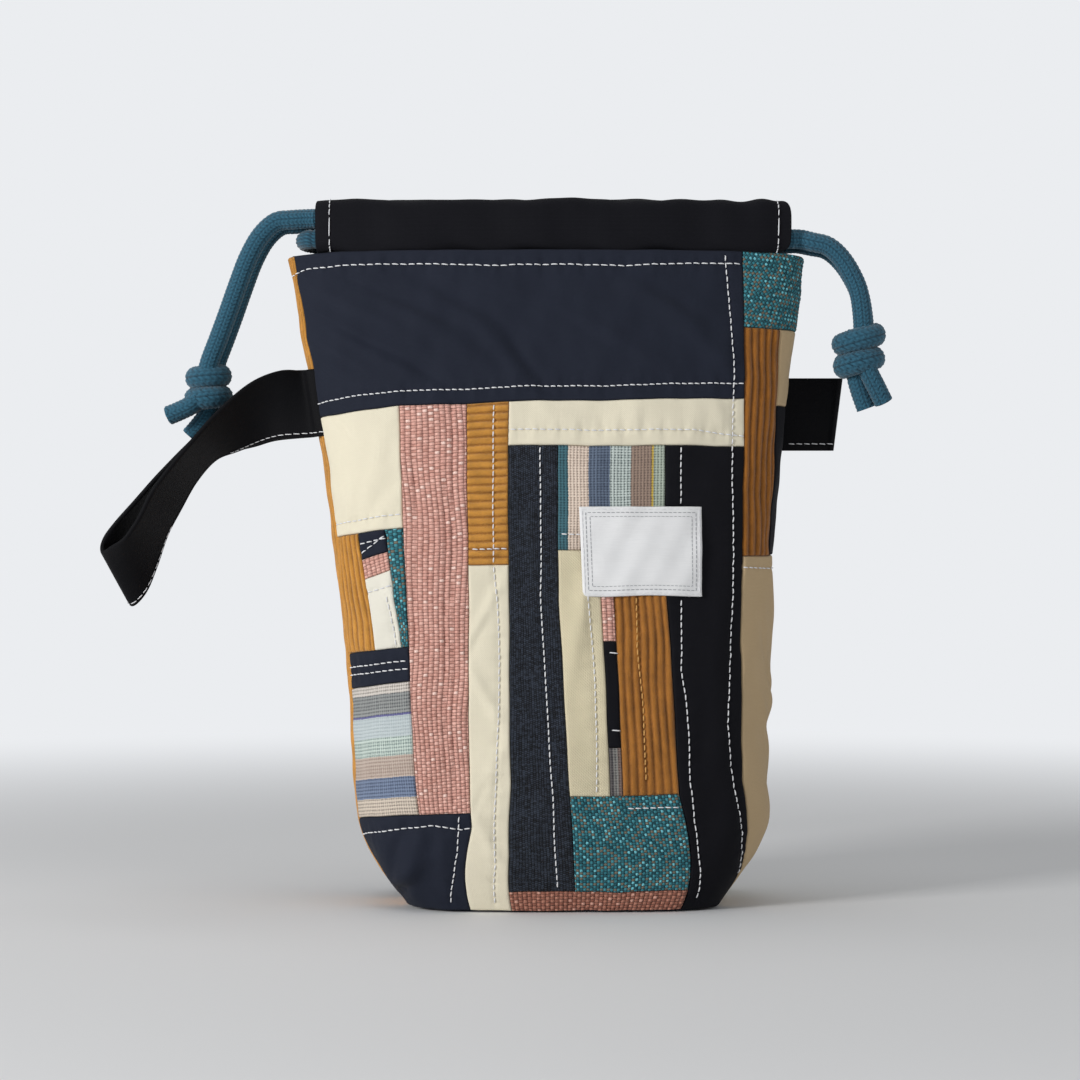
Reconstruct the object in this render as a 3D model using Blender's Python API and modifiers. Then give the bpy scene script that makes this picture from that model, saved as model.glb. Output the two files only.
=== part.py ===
"""Patchwork drawstring project bag, in metres, +Z up, standing on its base at the origin.

The front looks along -Y. The body is a soft tube of patches over a lining. A place on it is
given as a distance round the flat patchwork, counted from the left fold through the front,
and a height above the floor.
"""
import math

import bmesh
import bpy
import numpy as np
from mathutils import Vector

# Body, as flat cloth and as it stands
FLAT_GIRTH = 0.400
BODY_HEIGHT = 0.231
BASE_WIDTH = 0.098
BASE_DEPTH = 0.074
WAIST_WIDTH = 0.1474
WAIST_DEPTH = 0.085
MOUTH_WIDTH = 0.186
MOUTH_DEPTH = 0.041
BASE_ROUND = 0.049
MOUTH_LEAN = -0.006
FLARE_POWER = 1.6
BASE_SQUARENESS = 4.5
WAIST_SQUARENESS = 3.3
MOUTH_SQUARENESS = 2.4

# Cloth layers and the room between them
CLOTH = 0.0011
LAYER_GAP = 0.0004
SEAM_GAP = 0.0004
SEAM_DIP = 0.00035
BASE_CLOTH = 0.0012
FACING_HEIGHT = 0.026
RIB_PITCH = 0.0028
RIB_DEPTH = 0.0006

# Casings at the mouth and the drawstrings inside them
CASING_HEIGHT = 0.0190
CASING_DEPTH = 0.0104
CASING_CLOTH = 0.0010
CASING_HALF_LENGTH = 0.0855
CASING_SET_BACK = 0.0060
CASING_SPREAD = 0.004
CASING_SHIFT = -0.0035
CORD_DIAMETER = 0.007
CASING_STATIONS = 14
CASING_CORNERS = 10
STRAND_STATIONS = 12
CORD_ROOM = 0.0003
CORD_END_ROOM = 0.0007
CORD_BEND = 0.0058

# Wrist strap, tab and label
STRAP_WIDTH = 0.0245
STRAP_THICKNESS = 0.0018
STRAP_HEIGHT = 0.178
TAB_LENGTH = 0.0165
TAB_WIDTH = 0.0262
TAB_THICKNESS = 0.0034
TAB_HEIGHT = 0.1745
LABEL_CENTRE = (0.1307, 0.125)
LABEL_SIZE = (0.0415, 0.031)
LABEL_THICKNESS = 0.0006

# Heights at which the cloth bends, for the rows of every patch
LEVELS = (0.004, 0.009, 0.017, 0.030, 0.048, 0.075, 0.110, 0.145, 0.178, 0.207)
CLOTH_STEP = 0.0075
LINING_SIDES = 32

# Upright seams: (height, distance round)
LEFT_SEAM = ((0.0, 0.018), (0.090, 0.018), (0.150, 0.0147), (0.178, 0.0118), (0.231, 0.0064))
PINK_LEFT = ((0.031, 0.0505), (0.090, 0.048), (0.179, 0.046))
PINK_RIGHT = ((0.0, 0.058), (0.030, 0.0685), (0.179, 0.0705))
LINEN_LEFT = ((0.0, 0.0765), (0.020, 0.0805), (0.045, 0.083), (0.120, 0.0838), (0.179, 0.0853))
LINEN_RIGHT = ((0.0, 0.1047), (0.045, 0.103), (0.108, 0.1008), (0.163, 0.1023))
KHAKI_RIGHT = ((0.040, 0.1172), (0.126, 0.1152))
GOLD_LEFT = ((0.040, 0.1215), (0.126, 0.1197))
BLACK_LEFT = ((0.0, 0.152), (0.0405, 0.141), (0.085, 0.1395), (0.110, 0.1385), (0.163, 0.140))
BLACK_RIGHT = ((0.0, 0.1785), (0.0225, 0.1695), (0.045, 0.1655), (0.108, 0.1665), (0.162, 0.1695), (0.231, 0.1702))
SIDE_STRIP = ((0.123, 0.1835), (0.204, 0.185))
RIGHT_SEAM = ((0.0, 0.208), (0.231, 0.208))
SMALL_GOLD_RIGHT = ((0.090, 0.035), (0.131, 0.029))
SMALL_TEAL_LEFT = ((0.090, 0.0455), (0.133, 0.040))
BACK_FIRST = ((0.0, 0.252), (0.231, 0.250))
BACK_SECOND = ((0.0, 0.298), (0.231, 0.300))
BACK_THIRD = ((0.0, 0.347), (0.231, 0.345))
BACK_EDGE = ((0.0, 0.394), (0.231, 0.390))

# Level seams: (distance round, height)
FOOT = ((0.0, 0.0016), (0.420, 0.0016))
TOP = ((0.0, 0.231), (0.420, 0.231))
BAND_LOW = ((0.011, 0.1725), (0.046, 0.176), (0.085, 0.1775), (0.171, 0.179))
CREAM_LOW = ((0.015, 0.130), (0.047, 0.1332))
NAVY_SMALL_LOW = ((0.029, 0.1217), (0.042, 0.1252))
PINK_SMALL_LOW = ((0.031, 0.1152), (0.043, 0.1190))
NAVY_BAND_TOP = ((0.018, 0.0890), (0.048, 0.0918))
NAVY_BAND_LOW = ((0.018, 0.0765), (0.049, 0.0800))
CORNER_TOP = ((0.018, 0.0310), (0.0505, 0.0338), (0.070, 0.0350))
CROSS_LOW = ((0.070, 0.1205), (0.084, 0.1205))
STRIP_LOW = ((0.085, 0.1620), (0.170, 0.1620))
STRIPED_LOW = ((0.100, 0.1255), (0.141, 0.1258))
PINK_SLIVER_LOW = ((0.115, 0.0940), (0.123, 0.0940))
BLACK_SLIVER_LOW = ((0.115, 0.0575), (0.123, 0.0575))
TWEED_TOP = ((0.100, 0.0405), (0.143, 0.0410))
TWEED_LOW = ((0.076, 0.0072), (0.152, 0.0072))
SIDE_TWEED_LOW = ((0.170, 0.2045), (0.208, 0.2030))
TAN_STRIP_LOW = ((0.183, 0.1765), (0.208, 0.1765))
SIDE_GOLD_LOW = ((0.166, 0.1235), (0.208, 0.1235))
BACK_BAND_LOW = ((0.208, 0.180), (0.394, 0.180))

# Soft swells and folds: distance round, height, reach round, reach up, height of the fold
FOLDS = (
    (0.193, 0.075, 0.014, 0.010, 0.0013),
    (0.180, 0.030, 0.012, 0.012, 0.0012),
    (0.036, 0.017, 0.012, 0.010, 0.0012),
    (0.060, 0.207, 0.020, 0.014, 0.0012),
    (0.125, 0.207, 0.026, 0.012, 0.0010),
    (0.095, 0.048, 0.024, 0.035, 0.0012),
    (0.300, 0.110, 0.050, 0.050, 0.0014),
)

# Routes of the hanging cords: outwards from the casing's end, then up from the body's top edge
LEFT_ROUTE = (
    (0.0080, 0.0124), (0.0135, 0.0116), (0.0188, 0.0068), (0.0232, -0.0010), (0.0270, -0.0110),
    (0.0305, -0.0210), (0.0338, -0.0300), (0.0368, -0.0380),
)
RIGHT_ROUTE = (
    (0.0075, 0.0042), (0.0125, 0.0028), (0.0170, -0.0010), (0.0210, -0.0070), (0.0240, -0.0145),
    (0.0253, -0.0255),
)

# Knots: outwards from the casing's end, along Y, and up from the body's top edge; tails from the knot
LEFT_KNOT = (0.0385, -0.0010, -0.0470)
RIGHT_KNOT = (0.0235, -0.0085, -0.0345)
LEFT_TAILS = ((0.0150, -0.0030, -0.0095), (0.0065, 0.0030, -0.0165))
RIGHT_TAILS = ((0.0075, 0.0, -0.0190), (-0.0025, -0.0040, -0.0165))
KNOT_RADIUS = 0.0088
KNOT_RIDGE = 0.07
CORD_SPREAD = 0.0038

# Wrist strap loop: centre of the tape, outwards from the body's left edge at its height, along Y
# and up from its root, then the way its width points
STRAP_ROUTE = (
    ((0.00245, -0.0086, 0.0000), (0.00, 0.00, 1.00)),
    ((0.01155, -0.0095, -0.0010), (0.00, -0.15, 0.98)),
    ((0.01955, -0.0100, -0.0040), (-0.05, -0.45, 0.88)),
    ((0.02805, -0.0100, -0.0098), (-0.12, -0.75, 0.62)),
    ((0.03655, -0.0097, -0.0162), (-0.19, -0.92, 0.30)),
    ((0.04455, -0.0092, -0.0245), (-0.20, -0.93, 0.27)),
    ((0.05185, -0.0087, -0.0347), (-0.28, -0.90, 0.27)),
    ((0.05705, -0.0082, -0.0445), (-0.30, -0.90, 0.22)),
    ((0.06155, -0.0078, -0.0537), (-0.36, -0.80, 0.40)),
    ((0.06655, -0.0062, -0.0600), (-0.42, -0.55, 0.66)),
    ((0.07125, -0.0032, -0.0628), (-0.38, -0.42, 0.80)),
    ((0.07275, 0.0008, -0.0585), (-0.37, -0.50, 0.78)),
    ((0.07005, 0.0005, -0.0495), (-0.33, -0.68, 0.62)),
    ((0.06455, -0.0010, -0.0395), (-0.30, -0.80, 0.50)),
    ((0.05805, -0.0030, -0.0310), (-0.25, -0.85, 0.42)),
    ((0.05055, -0.0045, -0.0235), (-0.20, -0.87, 0.42)),
    ((0.04055, -0.0055, -0.0158), (-0.15, -0.85, 0.48)),
    ((0.03055, -0.0058, -0.0090), (-0.08, -0.65, 0.72)),
    ((0.02155, -0.0060, -0.0045), (-0.02, -0.35, 0.92)),
    ((0.01255, -0.0060, -0.0012), (0.00, -0.12, 0.99)),
    ((0.00245, -0.0060, 0.0000), (0.00, 0.00, 1.00)),
)
STRAP_STATIONS = 34

NAVY = (0.018, 0.021, 0.032, 1.0)
BLACK = (0.012, 0.012, 0.015, 1.0)
LINEN_NAVY = (0.020, 0.026, 0.040, 1.0)
CREAM = (0.77, 0.71, 0.54, 1.0)
IVORY = (0.80, 0.77, 0.68, 1.0)
KHAKI = (0.60, 0.57, 0.40, 1.0)
PINK = (0.50, 0.24, 0.19, 1.0)
GOLD = (0.46, 0.22, 0.035, 1.0)
TEAL = (0.05, 0.23, 0.27, 1.0)
STRIPE_GREY = (0.32, 0.31, 0.29, 1.0)
TAN = (0.50, 0.40, 0.26, 1.0)
CORD_BLUE = (0.028, 0.115, 0.160, 1.0)
NATURAL = (0.62, 0.56, 0.44, 1.0)
WHITE = (0.85, 0.85, 0.84, 1.0)


def clear_scene():
    for old in list(bpy.data.objects):
        bpy.data.objects.remove(old, do_unlink=True)


def make_collection(name):
    collection = bpy.data.collections.new(name)
    bpy.context.scene.collection.children.link(collection)
    return collection


def material(name, colour, roughness):
    made = bpy.data.materials.new(name)
    made.use_nodes = True
    shader = made.node_tree.nodes["Principled BSDF"]
    shader.inputs["Base Color"].default_value = colour
    shader.inputs["Roughness"].default_value = roughness
    shader.inputs["Metallic"].default_value = 0.0
    made.diffuse_color = colour
    return made


def add_object(name, data, colour, roughness=0.9):
    data.materials.append(material(name + "_cloth", colour, roughness))
    made = bpy.data.objects.new(name, data)
    BAG.objects.link(made)
    return made


def mesh_from(name, bm):
    bmesh.ops.recalc_face_normals(bm, faces=bm.faces)
    mesh = bpy.data.meshes.new(name)
    bm.to_mesh(mesh)
    bm.free()
    return mesh


def along(line, at):
    """Reads a seam line, given as pairs in rising order, at one place."""
    return float(np.interp(at, [pair[0] for pair in line], [pair[1] for pair in line]))


def section(height):
    """Half width, half depth and squareness of the body at one height."""
    rise = min(max(height / BASE_ROUND, 0.0), 1.0)
    swell = 1.0 - (1.0 - rise) ** 3
    flare = max((height - BASE_ROUND) / (BODY_HEIGHT - BASE_ROUND), 0.0) ** FLARE_POWER

    def blend(base, waist, mouth):
        return base + (waist - base) * swell + (mouth - waist) * flare

    return (
        blend(BASE_WIDTH / 2, WAIST_WIDTH / 2, MOUTH_WIDTH / 2),
        blend(BASE_DEPTH / 2, WAIST_DEPTH / 2, MOUTH_DEPTH / 2),
        blend(BASE_SQUARENESS, WAIST_SQUARENESS, MOUTH_SQUARENESS),
    )


TURN = np.linspace(math.pi, 3 * math.pi, 721)
OUTLINES = {}


def outline(height):
    """Points round the body at one height, and how far round each one is, from 0 to 1."""
    key = round(height, 6)
    if key not in OUTLINES:
        half_width, half_depth, squareness = section(height)
        cosine = np.cos(TURN)
        sine = np.sin(TURN)
        x = half_width * np.sign(cosine) * np.abs(cosine) ** (2 / squareness)
        y = half_depth * np.sign(sine) * np.abs(sine) ** (2 / squareness)
        run = np.concatenate(([0.0], np.cumsum(np.hypot(np.diff(x), np.diff(y)))))
        OUTLINES[key] = (x + MOUTH_LEAN * height / BODY_HEIGHT, y, run / run[-1])
    return OUTLINES[key]


def smooth_point(distance, height):
    x, y, run = outline(height)
    share = (distance / FLAT_GIRTH) % 1.0
    return Vector((float(np.interp(share, run, x)), float(np.interp(share, run, y)), height))


def fold_height(distance, height):
    total = 0.0
    for centre, level, reach, rise, fold in FOLDS:
        away = ((distance - centre) / reach) ** 2 + ((height - level) / rise) ** 2
        total += fold * math.exp(-away)
    return total


def body_point(distance, height, depth=0.0, folded=True):
    """A place on the body, moved inwards from the outer face by a depth."""
    step = 0.0012
    low = max(height - step, 0.0)
    across = smooth_point(distance + step, height) - smooth_point(distance - step, height)
    upward = smooth_point(distance, height + step) - smooth_point(distance, low)
    out = across.cross(upward).normalized()
    fold = fold_height(distance, height) if folded else 0.0
    return smooth_point(distance, height) + out * (fold - depth)


def rows_between(low, high):
    inner = [level for level in LEVELS if low + 0.0015 < level < high - 0.0025]
    return [0.0] + [(level - low) / (high - low) for level in inner] + [1.0]


def even(count):
    return [index / count for index in range(count + 1)]


def patch(name, left, right, low, high, colour, ribs=None, turn=(0.0, 0.0)):
    """One patch of cloth between four seams; ribs run 'up' or 'across' it."""
    middle = 0.5 * (along(left, 0.1) + along(right, 0.1)) + 0.5 * (turn[0] + turn[1])
    foot = along(low, middle)
    head = along(high, middle)
    width = along(right, 0.5 * (foot + head)) + turn[1] - along(left, 0.5 * (foot + head)) - turn[0]
    columns = even(max(2, round(width / CLOTH_STEP)))
    rows = rows_between(foot, head)
    if ribs == "up":
        columns = even(2 * max(2, round(width / RIB_PITCH)))
    if ribs == "across":
        rows = even(2 * max(2, round((head - foot) / RIB_PITCH)))
    bm = bmesh.new()
    bmesh.ops.create_grid(bm, x_segments=len(columns) - 1, y_segments=len(rows) - 1, size=0.5)
    for vert in bm.verts:
        column = round((vert.co.x + 0.5) * (len(columns) - 1))
        row = round((vert.co.y + 0.5) * (len(rows) - 1))
        over = columns[column]
        up = rows[row]
        height = foot + (head - foot) * up
        for _ in range(4):
            start = along(left, height) + turn[0] + SEAM_GAP / 2
            end = along(right, height) + turn[1] - SEAM_GAP / 2
            distance = start + (end - start) * over
            bottom = along(low, distance) + SEAM_GAP / 2
            top = along(high, distance) - SEAM_GAP / 2
            height = bottom + (top - bottom) * up
        sunk = 0.0
        if ribs == "up":
            sunk = RIB_DEPTH * (column % 2 == 0)
        elif ribs == "across":
            sunk = RIB_DEPTH * (row % 2 == 0)
        elif over in (0.0, 1.0) or up in (0.0, 1.0):
            sunk = SEAM_DIP
        vert.co = body_point(distance, height, sunk)
    made = add_object(name, mesh_from(name, bm), colour)
    solid = made.modifiers.new("Cloth", "SOLIDIFY")
    solid.thickness = CLOTH - (RIB_DEPTH if ribs else SEAM_DIP)
    solid.offset = -1.0
    return made


def front_patches():
    patch("front_top_band", LEFT_SEAM, BLACK_RIGHT, BAND_LOW, TOP, NAVY)
    patch("cream_upper_left", LEFT_SEAM, PINK_LEFT, CREAM_LOW, BAND_LOW, CREAM)
    patch("pink_tweed_column", PINK_LEFT, PINK_RIGHT, CORNER_TOP, BAND_LOW, PINK)
    patch("corduroy_cross_ribbed", PINK_RIGHT, LINEN_LEFT, CROSS_LOW, BAND_LOW, GOLD, "across")
    patch("cream_long_column", PINK_RIGHT, LINEN_LEFT, FOOT, CROSS_LOW, CREAM)
    patch("cream_upper_strip", LINEN_LEFT, BLACK_RIGHT, STRIP_LOW, BAND_LOW, CREAM)
    patch("navy_linen_column", LINEN_LEFT, LINEN_RIGHT, TWEED_LOW, STRIP_LOW, LINEN_NAVY)
    patch("striped_upper_patch", LINEN_RIGHT, BLACK_LEFT, STRIPED_LOW, STRIP_LOW, STRIPE_GREY)
    patch("black_right_column", BLACK_LEFT, BLACK_RIGHT, FOOT, STRIP_LOW, BLACK)
    patch("khaki_lower_column", LINEN_RIGHT, KHAKI_RIGHT, TWEED_TOP, STRIPED_LOW, KHAKI)
    patch("pink_sliver", KHAKI_RIGHT, GOLD_LEFT, PINK_SLIVER_LOW, STRIPED_LOW, PINK)
    patch("black_sliver", KHAKI_RIGHT, GOLD_LEFT, BLACK_SLIVER_LOW, PINK_SLIVER_LOW, BLACK)
    patch("striped_sliver", KHAKI_RIGHT, GOLD_LEFT, TWEED_TOP, BLACK_SLIVER_LOW, STRIPE_GREY)
    patch("corduroy_lower", GOLD_LEFT, BLACK_LEFT, TWEED_TOP, STRIPED_LOW, GOLD, "up")
    patch("teal_tweed_base_patch", LINEN_RIGHT, BLACK_LEFT, TWEED_LOW, TWEED_TOP, TEAL)
    patch("pink_base_strip", LINEN_LEFT, BLACK_LEFT, FOOT, TWEED_LOW, PINK)
    patch("corduroy_left_small", LEFT_SEAM, SMALL_GOLD_RIGHT, NAVY_BAND_TOP, CREAM_LOW, GOLD, "up")
    patch("navy_small_left", SMALL_GOLD_RIGHT, SMALL_TEAL_LEFT, NAVY_SMALL_LOW, CREAM_LOW, NAVY)
    patch("pink_small_left", SMALL_GOLD_RIGHT, SMALL_TEAL_LEFT, PINK_SMALL_LOW, NAVY_SMALL_LOW, PINK)
    patch("ivory_small_left", SMALL_GOLD_RIGHT, SMALL_TEAL_LEFT, NAVY_BAND_TOP, PINK_SMALL_LOW, IVORY)
    patch("teal_narrow_left", SMALL_TEAL_LEFT, PINK_LEFT, NAVY_BAND_TOP, CREAM_LOW, TEAL)
    patch("navy_band_left", LEFT_SEAM, PINK_LEFT, NAVY_BAND_LOW, NAVY_BAND_TOP, NAVY)
    patch("striped_lower_left", LEFT_SEAM, PINK_LEFT, CORNER_TOP, NAVY_BAND_LOW, STRIPE_GREY)
    patch("navy_corner_lower_left", LEFT_SEAM, PINK_RIGHT, FOOT, CORNER_TOP, NAVY)


def side_patches():
    patch("teal_tweed_side", BLACK_RIGHT, RIGHT_SEAM, SIDE_TWEED_LOW, TOP, TEAL)
    patch("corduroy_side", BLACK_RIGHT, SIDE_STRIP, SIDE_GOLD_LOW, SIDE_TWEED_LOW, GOLD, "up")
    patch("tan_side_strip", SIDE_STRIP, RIGHT_SEAM, TAN_STRIP_LOW, SIDE_TWEED_LOW, TAN)
    patch("black_side_strip", SIDE_STRIP, RIGHT_SEAM, SIDE_GOLD_LOW, TAN_STRIP_LOW, BLACK)
    patch("tan_side_lower", BLACK_RIGHT, RIGHT_SEAM, FOOT, SIDE_GOLD_LOW, TAN)


def back_patches():
    once_round = (0.0, FLAT_GIRTH)
    patch("back_top_band", RIGHT_SEAM, BACK_EDGE, BACK_BAND_LOW, TOP, NAVY)
    patch("back_cream_column", RIGHT_SEAM, BACK_FIRST, FOOT, BACK_BAND_LOW, CREAM)
    patch("back_linen_column", BACK_FIRST, BACK_SECOND, FOOT, BACK_BAND_LOW, LINEN_NAVY)
    patch("back_tan_column", BACK_SECOND, BACK_THIRD, FOOT, BACK_BAND_LOW, TAN)
    patch("back_black_column", BACK_THIRD, BACK_EDGE, FOOT, BACK_BAND_LOW, BLACK)
    patch("corduroy_back_edge", BACK_EDGE, LEFT_SEAM, FOOT, TOP, GOLD, "up", once_round)


def ring_mesh(name, rings, closed_foot):
    """Joins rings of points, and closes the lowest one where it is asked to."""
    bm = bmesh.new()
    loops = [[bm.verts.new(point) for point in ring] for ring in rings]
    count = len(loops[0])
    for lower, upper in zip(loops, loops[1:]):
        for index in range(count):
            after = (index + 1) % count
            bm.faces.new((lower[index], lower[after], upper[after], upper[index]))
    if closed_foot:
        bm.faces.new(list(reversed(loops[0])))
    return mesh_from(name, bm)


def round_body(count):
    return [FLAT_GIRTH * index / count for index in range(count)]


def base_panel():
    """The flat bottom, which the bag stands on."""
    ring = [smooth_point(distance, 0.0) for distance in round_body(48)]
    mesh = ring_mesh("base_panel", [ring], True)
    made = add_object("base_panel", mesh, NAVY)
    solid = made.modifiers.new("Cloth", "SOLIDIFY")
    solid.thickness = BASE_CLOTH
    solid.offset = -1.0
    return made


def lining():
    """The inner bag, and the black facing that finishes it at the mouth."""
    layer = CLOTH + LAYER_GAP
    facing_foot = BODY_HEIGHT - FACING_HEIGHT
    floor = BASE_CLOTH + LAYER_GAP
    around = round_body(LINING_SIDES)
    inset = 1.0 - 2 * layer / BASE_DEPTH
    lowest = []
    for distance in around:
        point = smooth_point(distance, 0.0)
        lowest.append((point.x * inset, point.y * inset, floor))
    rings = [lowest]
    for height in [level for level in LEVELS if level < facing_foot - 0.003] + [facing_foot]:
        rings.append([body_point(distance, height, layer, False) for distance in around])
    facing_rings = []
    for height in (facing_foot + SEAM_GAP, facing_foot + FACING_HEIGHT / 2, BODY_HEIGHT):
        facing_rings.append([body_point(distance, height, layer, False) for distance in around])
    inner = add_object("lining", ring_mesh("lining", rings, True), NATURAL)
    facing = add_object("mouth_facing", ring_mesh("mouth_facing", facing_rings, False), BLACK)
    for made in (inner, facing):
        solid = made.modifiers.new("Cloth", "SOLIDIFY")
        solid.thickness = CLOTH
        solid.offset = -1.0


def mouth_curve(side, share):
    """Centre line of a casing, from its left end to its right; side is -1 in front, 1 behind."""
    half_width = MOUTH_WIDTH / 2 + CASING_SPREAD
    half_depth = MOUTH_DEPTH / 2 - CASING_SET_BACK
    x = CASING_HALF_LENGTH * (2 * share - 1)
    y = half_depth * (1 - abs(x / half_width) ** MOUTH_SQUARENESS) ** (1 / MOUTH_SQUARENESS)
    return Vector((x + CASING_SHIFT, side * y, 0.0))


def casing_shares(count):
    """Stations that crowd towards both ends, where the mouth bends."""
    first, last = 0.08, 0.92
    places = [first + (last - first) * index / count for index in range(count + 1)]
    crowded = [0.5 - 0.5 * math.cos(math.pi * place) for place in places]
    return [(share - crowded[0]) / (crowded[-1] - crowded[0]) for share in crowded]


def casing(name, side):
    """A cloth tunnel, open at both ends, a little gathered towards its right end."""
    stations = casing_shares(CASING_STATIONS)
    corners = CASING_CORNERS
    bottom = BODY_HEIGHT + CORD_ROOM
    middle = bottom + CASING_HEIGHT / 2
    bm = bmesh.new()
    shells = []
    for inward in (0.0, CASING_CLOTH):
        half_height = CASING_HEIGHT / 2 - inward
        half_depth = CASING_DEPTH / 2 - inward
        loops = []
        for index, share in enumerate(stations):
            centre = mouth_curve(side, share)
            ahead = mouth_curve(side, min(share + 0.01, 1.0)) - mouth_curve(side, max(share - 0.01, 0.0))
            out = Vector((ahead.y, -ahead.x, 0.0)).normalized()
            gather = 0.0
            if inward == 0.0:
                gather = 0.0007 * (0.15 + max(share - 0.6, 0.0) * 2) * (index % 2)
            loop = []
            for corner in range(corners):
                angle = 2 * math.pi * (corner + 0.5) / corners
                over = math.copysign(abs(math.cos(angle)) ** 0.7, math.cos(angle))
                up = math.copysign(abs(math.sin(angle)) ** 0.55, math.sin(angle))
                sink = gather if up > 0.5 else 0.0
                point = centre + out * (over * half_depth)
                point.z = middle + up * half_height - sink
                loop.append(bm.verts.new(point))
            loops.append(loop)
        shells.append(loops)
    outer, inner = shells
    for loops in (outer, inner):
        for first, second in zip(loops, loops[1:]):
            for corner in range(corners):
                after = (corner + 1) % corners
                bm.faces.new((first[corner], first[after], second[after], second[corner]))
    for end in (0, -1):
        for corner in range(corners):
            after = (corner + 1) % corners
            bm.faces.new((outer[end][corner], outer[end][after], inner[end][after], inner[end][corner]))
    return add_object(name, mesh_from(name, bm), BLACK)


def cord(name, points):
    """A round cord along its points."""
    data = bpy.data.curves.new(name, "CURVE")
    data.dimensions = "3D"
    data.bevel_depth = CORD_DIAMETER / 2
    data.bevel_resolution = 2
    data.use_fill_caps = True
    data.render_resolution_u = 0
    spline = data.splines.new("POLY")
    spline.points.add(len(points) - 1)
    for place, point in zip(spline.points, points):
        place.co = (point[0], point[1], point[2], 1.0)
    return add_object(name, data, CORD_BLUE, 0.85)


def cord_level(layer):
    """Height of a cord in the casings: layer 0 lies on the tunnel's floor, layer 1 on the cord below."""
    floor = BODY_HEIGHT + CORD_ROOM + CASING_CLOTH
    return floor + 2 * CORD_ROOM + CORD_DIAMETER / 2 + layer * (CORD_DIAMETER + CORD_ROOM)


def drawstring(name, layer, knot_side):
    """A cord through both casings, with its loop at the side away from its knot."""
    stations = casing_shares(CASING_STATIONS)
    if knot_side > 0:
        stations = stations[::-1]
    level = cord_level(layer)
    points = [mouth_curve(-1, share) for share in stations]
    turn = points[-1]
    radius = abs(turn.y)
    for index in range(1, 6):
        angle = math.pi * index / 6
        reach = math.sin(angle) * CORD_BEND
        points.append(Vector((turn.x - knot_side * reach, -radius * math.cos(angle), 0.0)))
    points += [mouth_curve(1, share) for share in reversed(stations)]
    return cord(name, [(point.x, point.y, level) for point in points])


def smooth_route(points, count):
    """Evenly shared points on a curve through the chosen ones."""
    keys = [Vector(point) for point in points]
    keys = [keys[0] * 2 - keys[1]] + keys + [keys[-1] * 2 - keys[-2]]
    spans = len(points) - 1
    made = []
    for index in range(count + 1):
        place = spans * index / count
        span = min(int(place), spans - 1)
        part = place - span
        before, start, end, after = keys[span:span + 4]
        made.append(0.5 * (
            2 * start + (end - before) * part
            + (2 * before - 5 * start + 4 * end - after) * part ** 2
            + (3 * start - before - 3 * end + after) * part ** 3
        ))
    return made


def casing_end(knot_side):
    return CASING_SHIFT + knot_side * CASING_HALF_LENGTH


def hanging_strand(name, layer, knot_side, side, route, knot):
    """One free end, from its casing's mouth down to its knot."""
    stations = casing_shares(CASING_STATIONS)
    edge = casing_end(knot_side)
    start = mouth_curve(side, 1.0 if knot_side > 0 else 0.0)
    ahead = start - mouth_curve(side, stations[-2] if knot_side > 0 else stations[1])
    ahead.normalize()
    level = cord_level(layer)
    points = []
    for run in (CORD_END_ROOM, CORD_DIAMETER * 0.4):
        points.append((start.x + ahead.x * run, start.y + ahead.y * run, level))
    count = len(route)
    for index, (outwards, upwards) in enumerate(route):
        part = (index + 1) / count
        near = side * CORD_SPREAD + knot[1]
        ease = part ** 0.7
        y = start.y + (near - start.y) * ease
        points.append((edge + knot_side * outwards, y, BODY_HEIGHT + upwards))
    return cord(name, smooth_route(points, STRAND_STATIONS))


def knot(name, knot_side, place, tails):
    """The two cord ends tied together: a round knot, its two wraps and two short tails."""
    reach = KNOT_RADIUS
    centre = Vector((casing_end(knot_side) + knot_side * place[0], place[1], BODY_HEIGHT + place[2]))
    bm = bmesh.new()
    bmesh.ops.create_uvsphere(bm, u_segments=14, v_segments=8, radius=1.0)
    for vert in bm.verts:
        ridge = 1.0 + KNOT_RIDGE * math.cos(3 * math.asin(max(-1.0, min(1.0, vert.co.z))) + 2 * vert.co.x)
        vert.co = Vector((vert.co.x * reach * ridge, vert.co.y * reach * 0.95 * ridge, vert.co.z * reach))
        vert.co += centre
    body = add_object(name, mesh_from(name, bm), CORD_BLUE, 0.85)
    for index, (outwards, forwards, upwards) in enumerate(tails):
        end = centre + Vector((knot_side * outwards, forwards, upwards))
        start = centre.lerp(end, 0.25)
        run = end - start
        tail = bmesh.new()
        bmesh.ops.create_cone(
            tail, cap_ends=True, segments=12, radius1=CORD_DIAMETER / 2, radius2=CORD_DIAMETER / 2,
            depth=run.length,
        )
        cutter = bpy.data.objects.new(name + "_tail_" + str(index), mesh_from(name + "_tail", tail))
        GUIDES.objects.link(cutter)
        cutter.rotation_mode = "QUATERNION"
        cutter.rotation_quaternion = run.to_track_quat("Z", "Y")
        cutter.location = (start + end) / 2
        cutter.hide_render = True
        cutter.display_type = "WIRE"
        join = body.modifiers.new("Tail", "BOOLEAN")
        join.operation = "UNION"
        join.solver = "EXACT"
        join.object = cutter
    return body


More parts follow.
